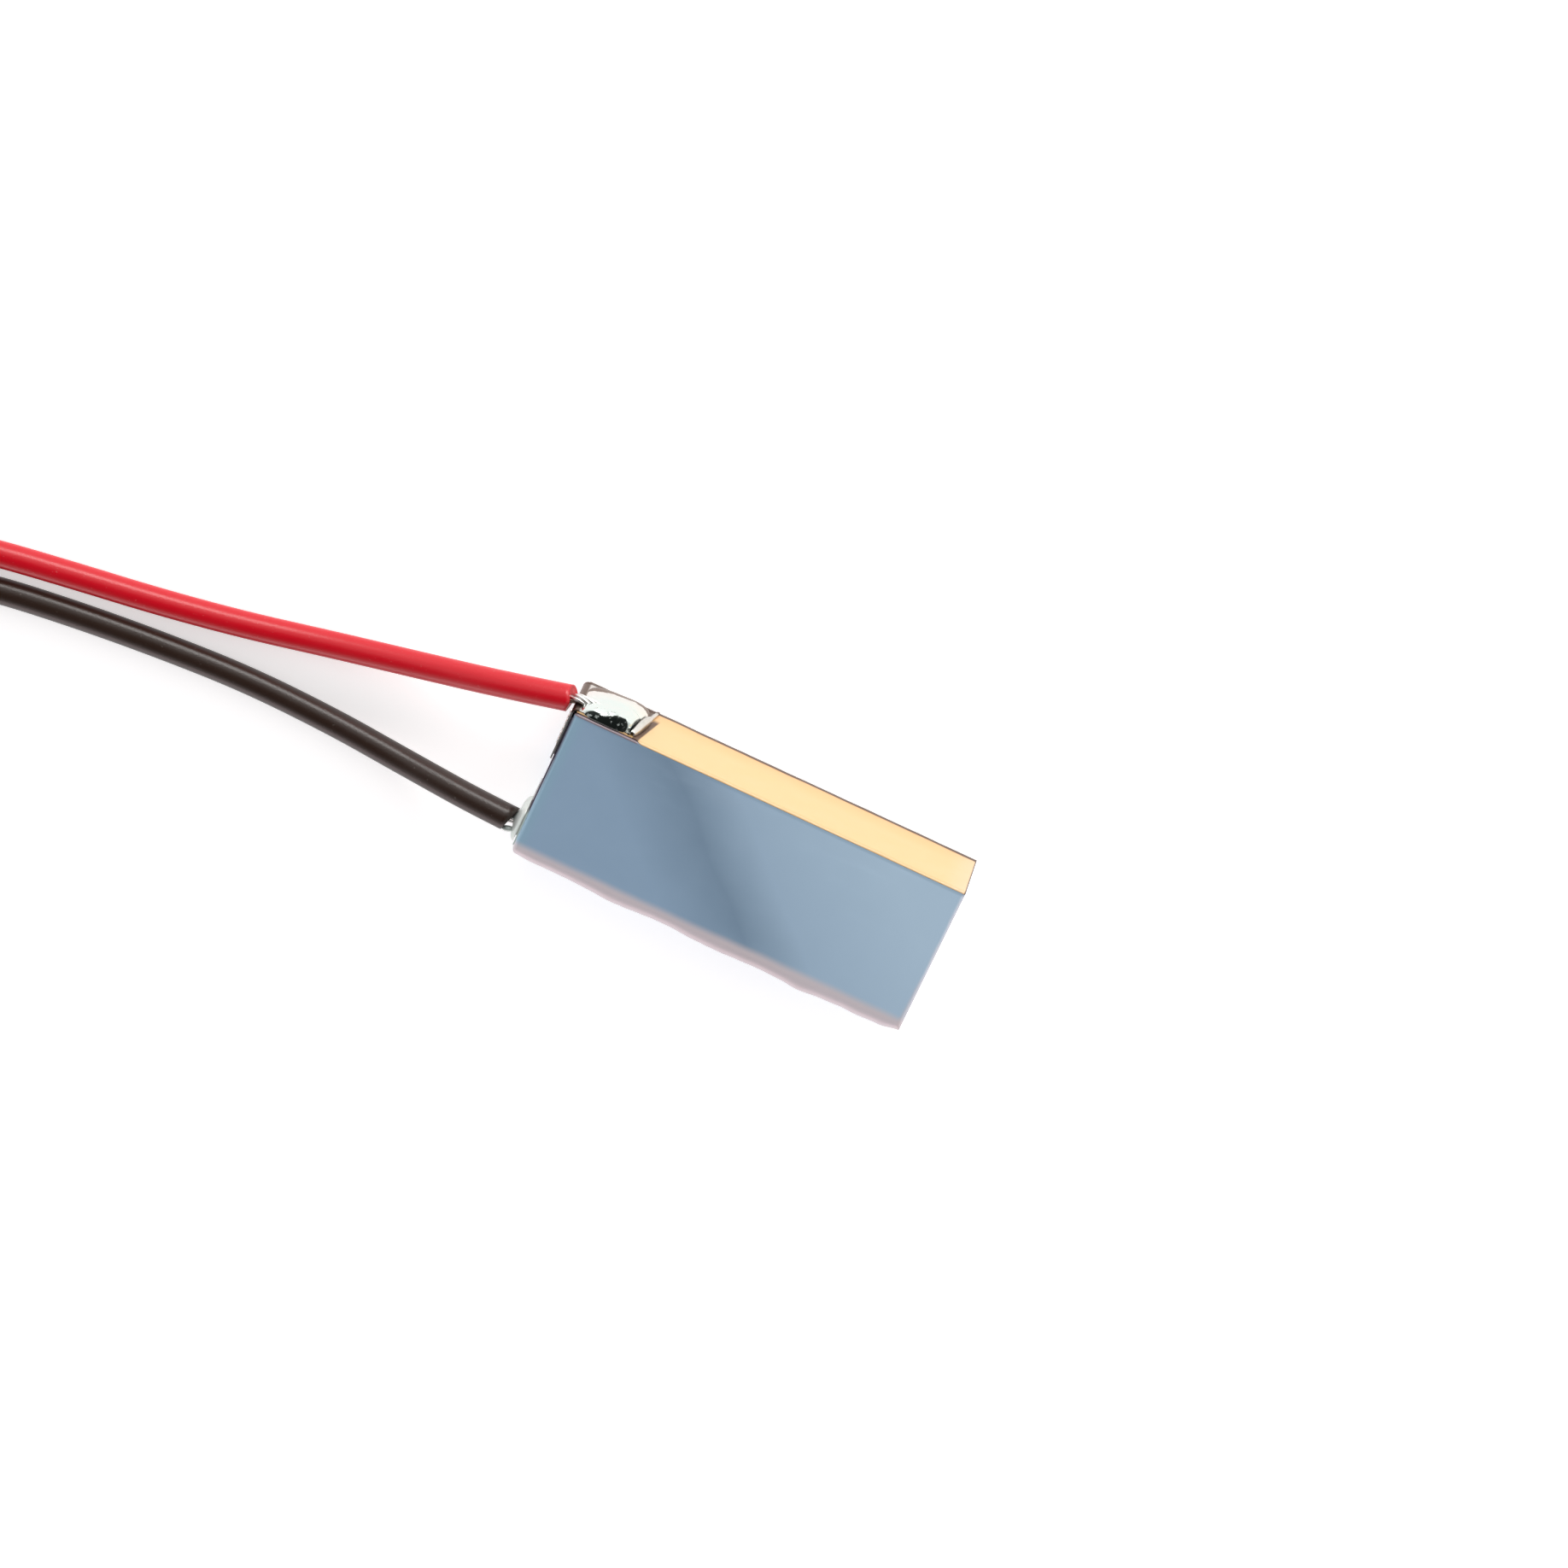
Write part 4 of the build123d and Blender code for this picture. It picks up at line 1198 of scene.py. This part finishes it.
class CELL_OT_inner_stack(Step, bpy.types.Operator):
    """Finishes the sealed electrode stack"""

    bl_idname = "pouch_cell.inner_stack"
    bl_label = "Inner stack"

    def make(self, sizes, shades):
        for node, slot, shade, deep, scale, rough, metallic in (
            ("anode_foils", "copper_foil", (0.72, 0.38, 0.24), (0.60, 0.30, 0.18), 3000, 0.3, 1.0),
            ("anode_coatings", "graphite", (0.035, 0.035, 0.038), (0.06, 0.06, 0.065), 6000, 0.6, 0.2),
            ("cathode_foils", "aluminium_foil", (0.80, 0.81, 0.82), (0.66, 0.67, 0.69), 3000, 0.28, 1.0),
            ("cathode_coatings", "cathode_oxide", (0.04, 0.04, 0.045), (0.075, 0.07, 0.07), 7000, 0.7, 0.0),
            ("separator", "separator_film", (0.86, 0.86, 0.85), (0.78, 0.78, 0.77), 5000, 0.5, 0.0),
        ):
            paint(node, grain_finish(slot, shade, deep, scale, rough, metallic))
        tape = grain_finish("green_tape", (0.05, 0.30, 0.12), (0.04, 0.22, 0.09), 2000, 0.25, Coat_Weight=0.3)
        for node in ("stack_tape", "positive_weld_tape", "negative_weld_tape"):
            paint(node, tape)


class CELL_OT_stage(bpy.types.Operator):
    """Makes the floor, the soft lights and the camera"""

    bl_idname = "pouch_cell.stage"
    bl_label = "Stage"

    floor_half = 3.0
    key_place, fill_place = (0.0, 0.455, 0.148), (-0.05, -0.45, 0.10)
    target = (0.229, 4.308, 2.007)

    def execute(self, context):
        studio = context.scene.cell_studio
        context.scene.view_settings.view_transform = "Standard"
        self.make_floor(studio)
        self.make_world(context, studio)
        self.make_light("key", self.key_place, (0.50, 0.16), studio.key, (1.0, 0.985, 0.96))
        self.make_light("fill", self.fill_place, (0.60, 0.20), studio.fill, (1.0, 0.78, 0.80))
        self.make_camera(context, studio)
        return {"FINISHED"}

    def make_floor(self, studio):
        """A wide flat floor."""
        finish = Finish(
            "floor", Roughness=0.9, Specular_IOR_Level=0.1, Emission_Color=(1, 1, 1),
            Emission_Strength=studio.glow,
        )
        pale = [min(part * 1.02, 1) for part in studio.floor]
        material = finish.set(Base_Color=finish.mix(finish.noise(900, 3) * 0.5, studio.floor, pale))
        half = self.floor_half
        corners = [(-half, -half, 0), (half, -half, 0), (half, half, 0), (-half, half, 0)]
        piece_from("floor", corners, [(0, 1, 2, 3)], material, smooth=False)

    def make_world(self, context, studio):
        """Even studio light, with the unlit ceiling over the plain side."""
        context.scene.world = bpy.data.worlds.new("studio")
        context.scene.world.use_nodes = True
        sky = Shading(context.scene.world.node_tree)
        x, y, z = sky.axes("Generated")
        ceiling = (y * -0.15 + z * 0.98).step(0.70, 0.88)
        warm = (0 - y).step(0.1, 0.9) * (1 - ceiling)
        shade = sky.mix(ceiling, (1.0, 1.0, 1.0), (0.035, 0.045, 0.05))
        shade = sky.mix(warm * 0.5, shade, (1.0, 0.86, 0.88))
        light = sky.node("ShaderNodeBackground", {"Color": shade, "Strength": studio.sky})
        sky.node("ShaderNodeOutputWorld", {"Surface": light}, None)

    def make_light(self, name, place, size, power, tint):
        """A soft rectangular light that faces the cell."""
        lamp = bpy.data.lights.new(name, "AREA")
        lamp.shape = "RECTANGLE"
        lamp.size, lamp.size_y = size
        lamp.energy = power
        lamp.color = tint
        made = add_object(name, lamp)
        made.location = place
        made.rotation_euler = (-Vector(place)).to_track_quat("-Z", "Y").to_euler()

    def make_camera(self, context, studio):
        """A long lens from above, leaning towards the taped side."""
        lean = math.sin(studio.tilt)
        sight = Vector((-math.sin(studio.turn) * lean, math.cos(studio.turn) * lean, math.cos(studio.tilt)))
        up = (Vector((0, 1, 0)) - sight * sight.y).normalized()
        right = up.cross(sight)
        cosine, sine = math.cos(studio.roll), math.sin(studio.roll)
        across, upward = right * cosine + up * sine, up * cosine - right * sine
        lens = bpy.data.cameras.new("camera")
        lens.lens = studio.lens
        lens.sensor_width = 36
        lens.clip_start = 0.01
        camera = add_object("camera", lens)
        turn = Matrix((across, upward, sight)).transposed().to_4x4()
        place = Vector(self.target) * MM + sight * studio.distance
        camera.matrix_world = Matrix.Translation(place) @ turn
        context.scene.camera = camera


GROUPS = {"cell_sizes": CellSizes, "cell_colours": CellColours, "cell_studio": StudioSettings}
OPERATORS = (
    CELL_OT_stage, CELL_OT_conductors, CELL_OT_leads, CELL_OT_pouch, CELL_OT_tapes, CELL_OT_tabs,
    CELL_OT_nickel_strip, CELL_OT_solder, CELL_OT_inner_stack,
)


class CELL_PT_panel(bpy.types.Panel):
    """Sizes, colours and the pieces in order"""

    bl_label = "Pouch cell"
    bl_idname = "CELL_PT_panel"
    bl_space_type = "VIEW_3D"
    bl_region_type = "UI"
    bl_category = "Pouch cell"

    def draw(self, context):
        for group in (getattr(context.scene, name) for name in GROUPS):
            box = self.layout.box()
            for name in group.bl_rna.properties.keys():
                if name not in ("rna_type", "name"):
                    box.prop(group, name)
        for operator in OPERATORS:
            self.layout.operator(operator.bl_idname)


CLASSES = (*GROUPS.values(), *OPERATORS, CELL_PT_panel)


def register():
    for item in CLASSES:
        bpy.utils.register_class(item)
    for name, group in GROUPS.items():
        setattr(bpy.types.Scene, name, PointerProperty(type=group))


def unregister():
    for name in GROUPS:
        delattr(bpy.types.Scene, name)
    for item in reversed(CLASSES):
        bpy.utils.unregister_class(item)


def main():
    register()
    for operator in OPERATORS:
        category, name = operator.bl_idname.split(".")
        getattr(getattr(bpy.ops, category), name)()


if __name__ == "__main__":
    main()
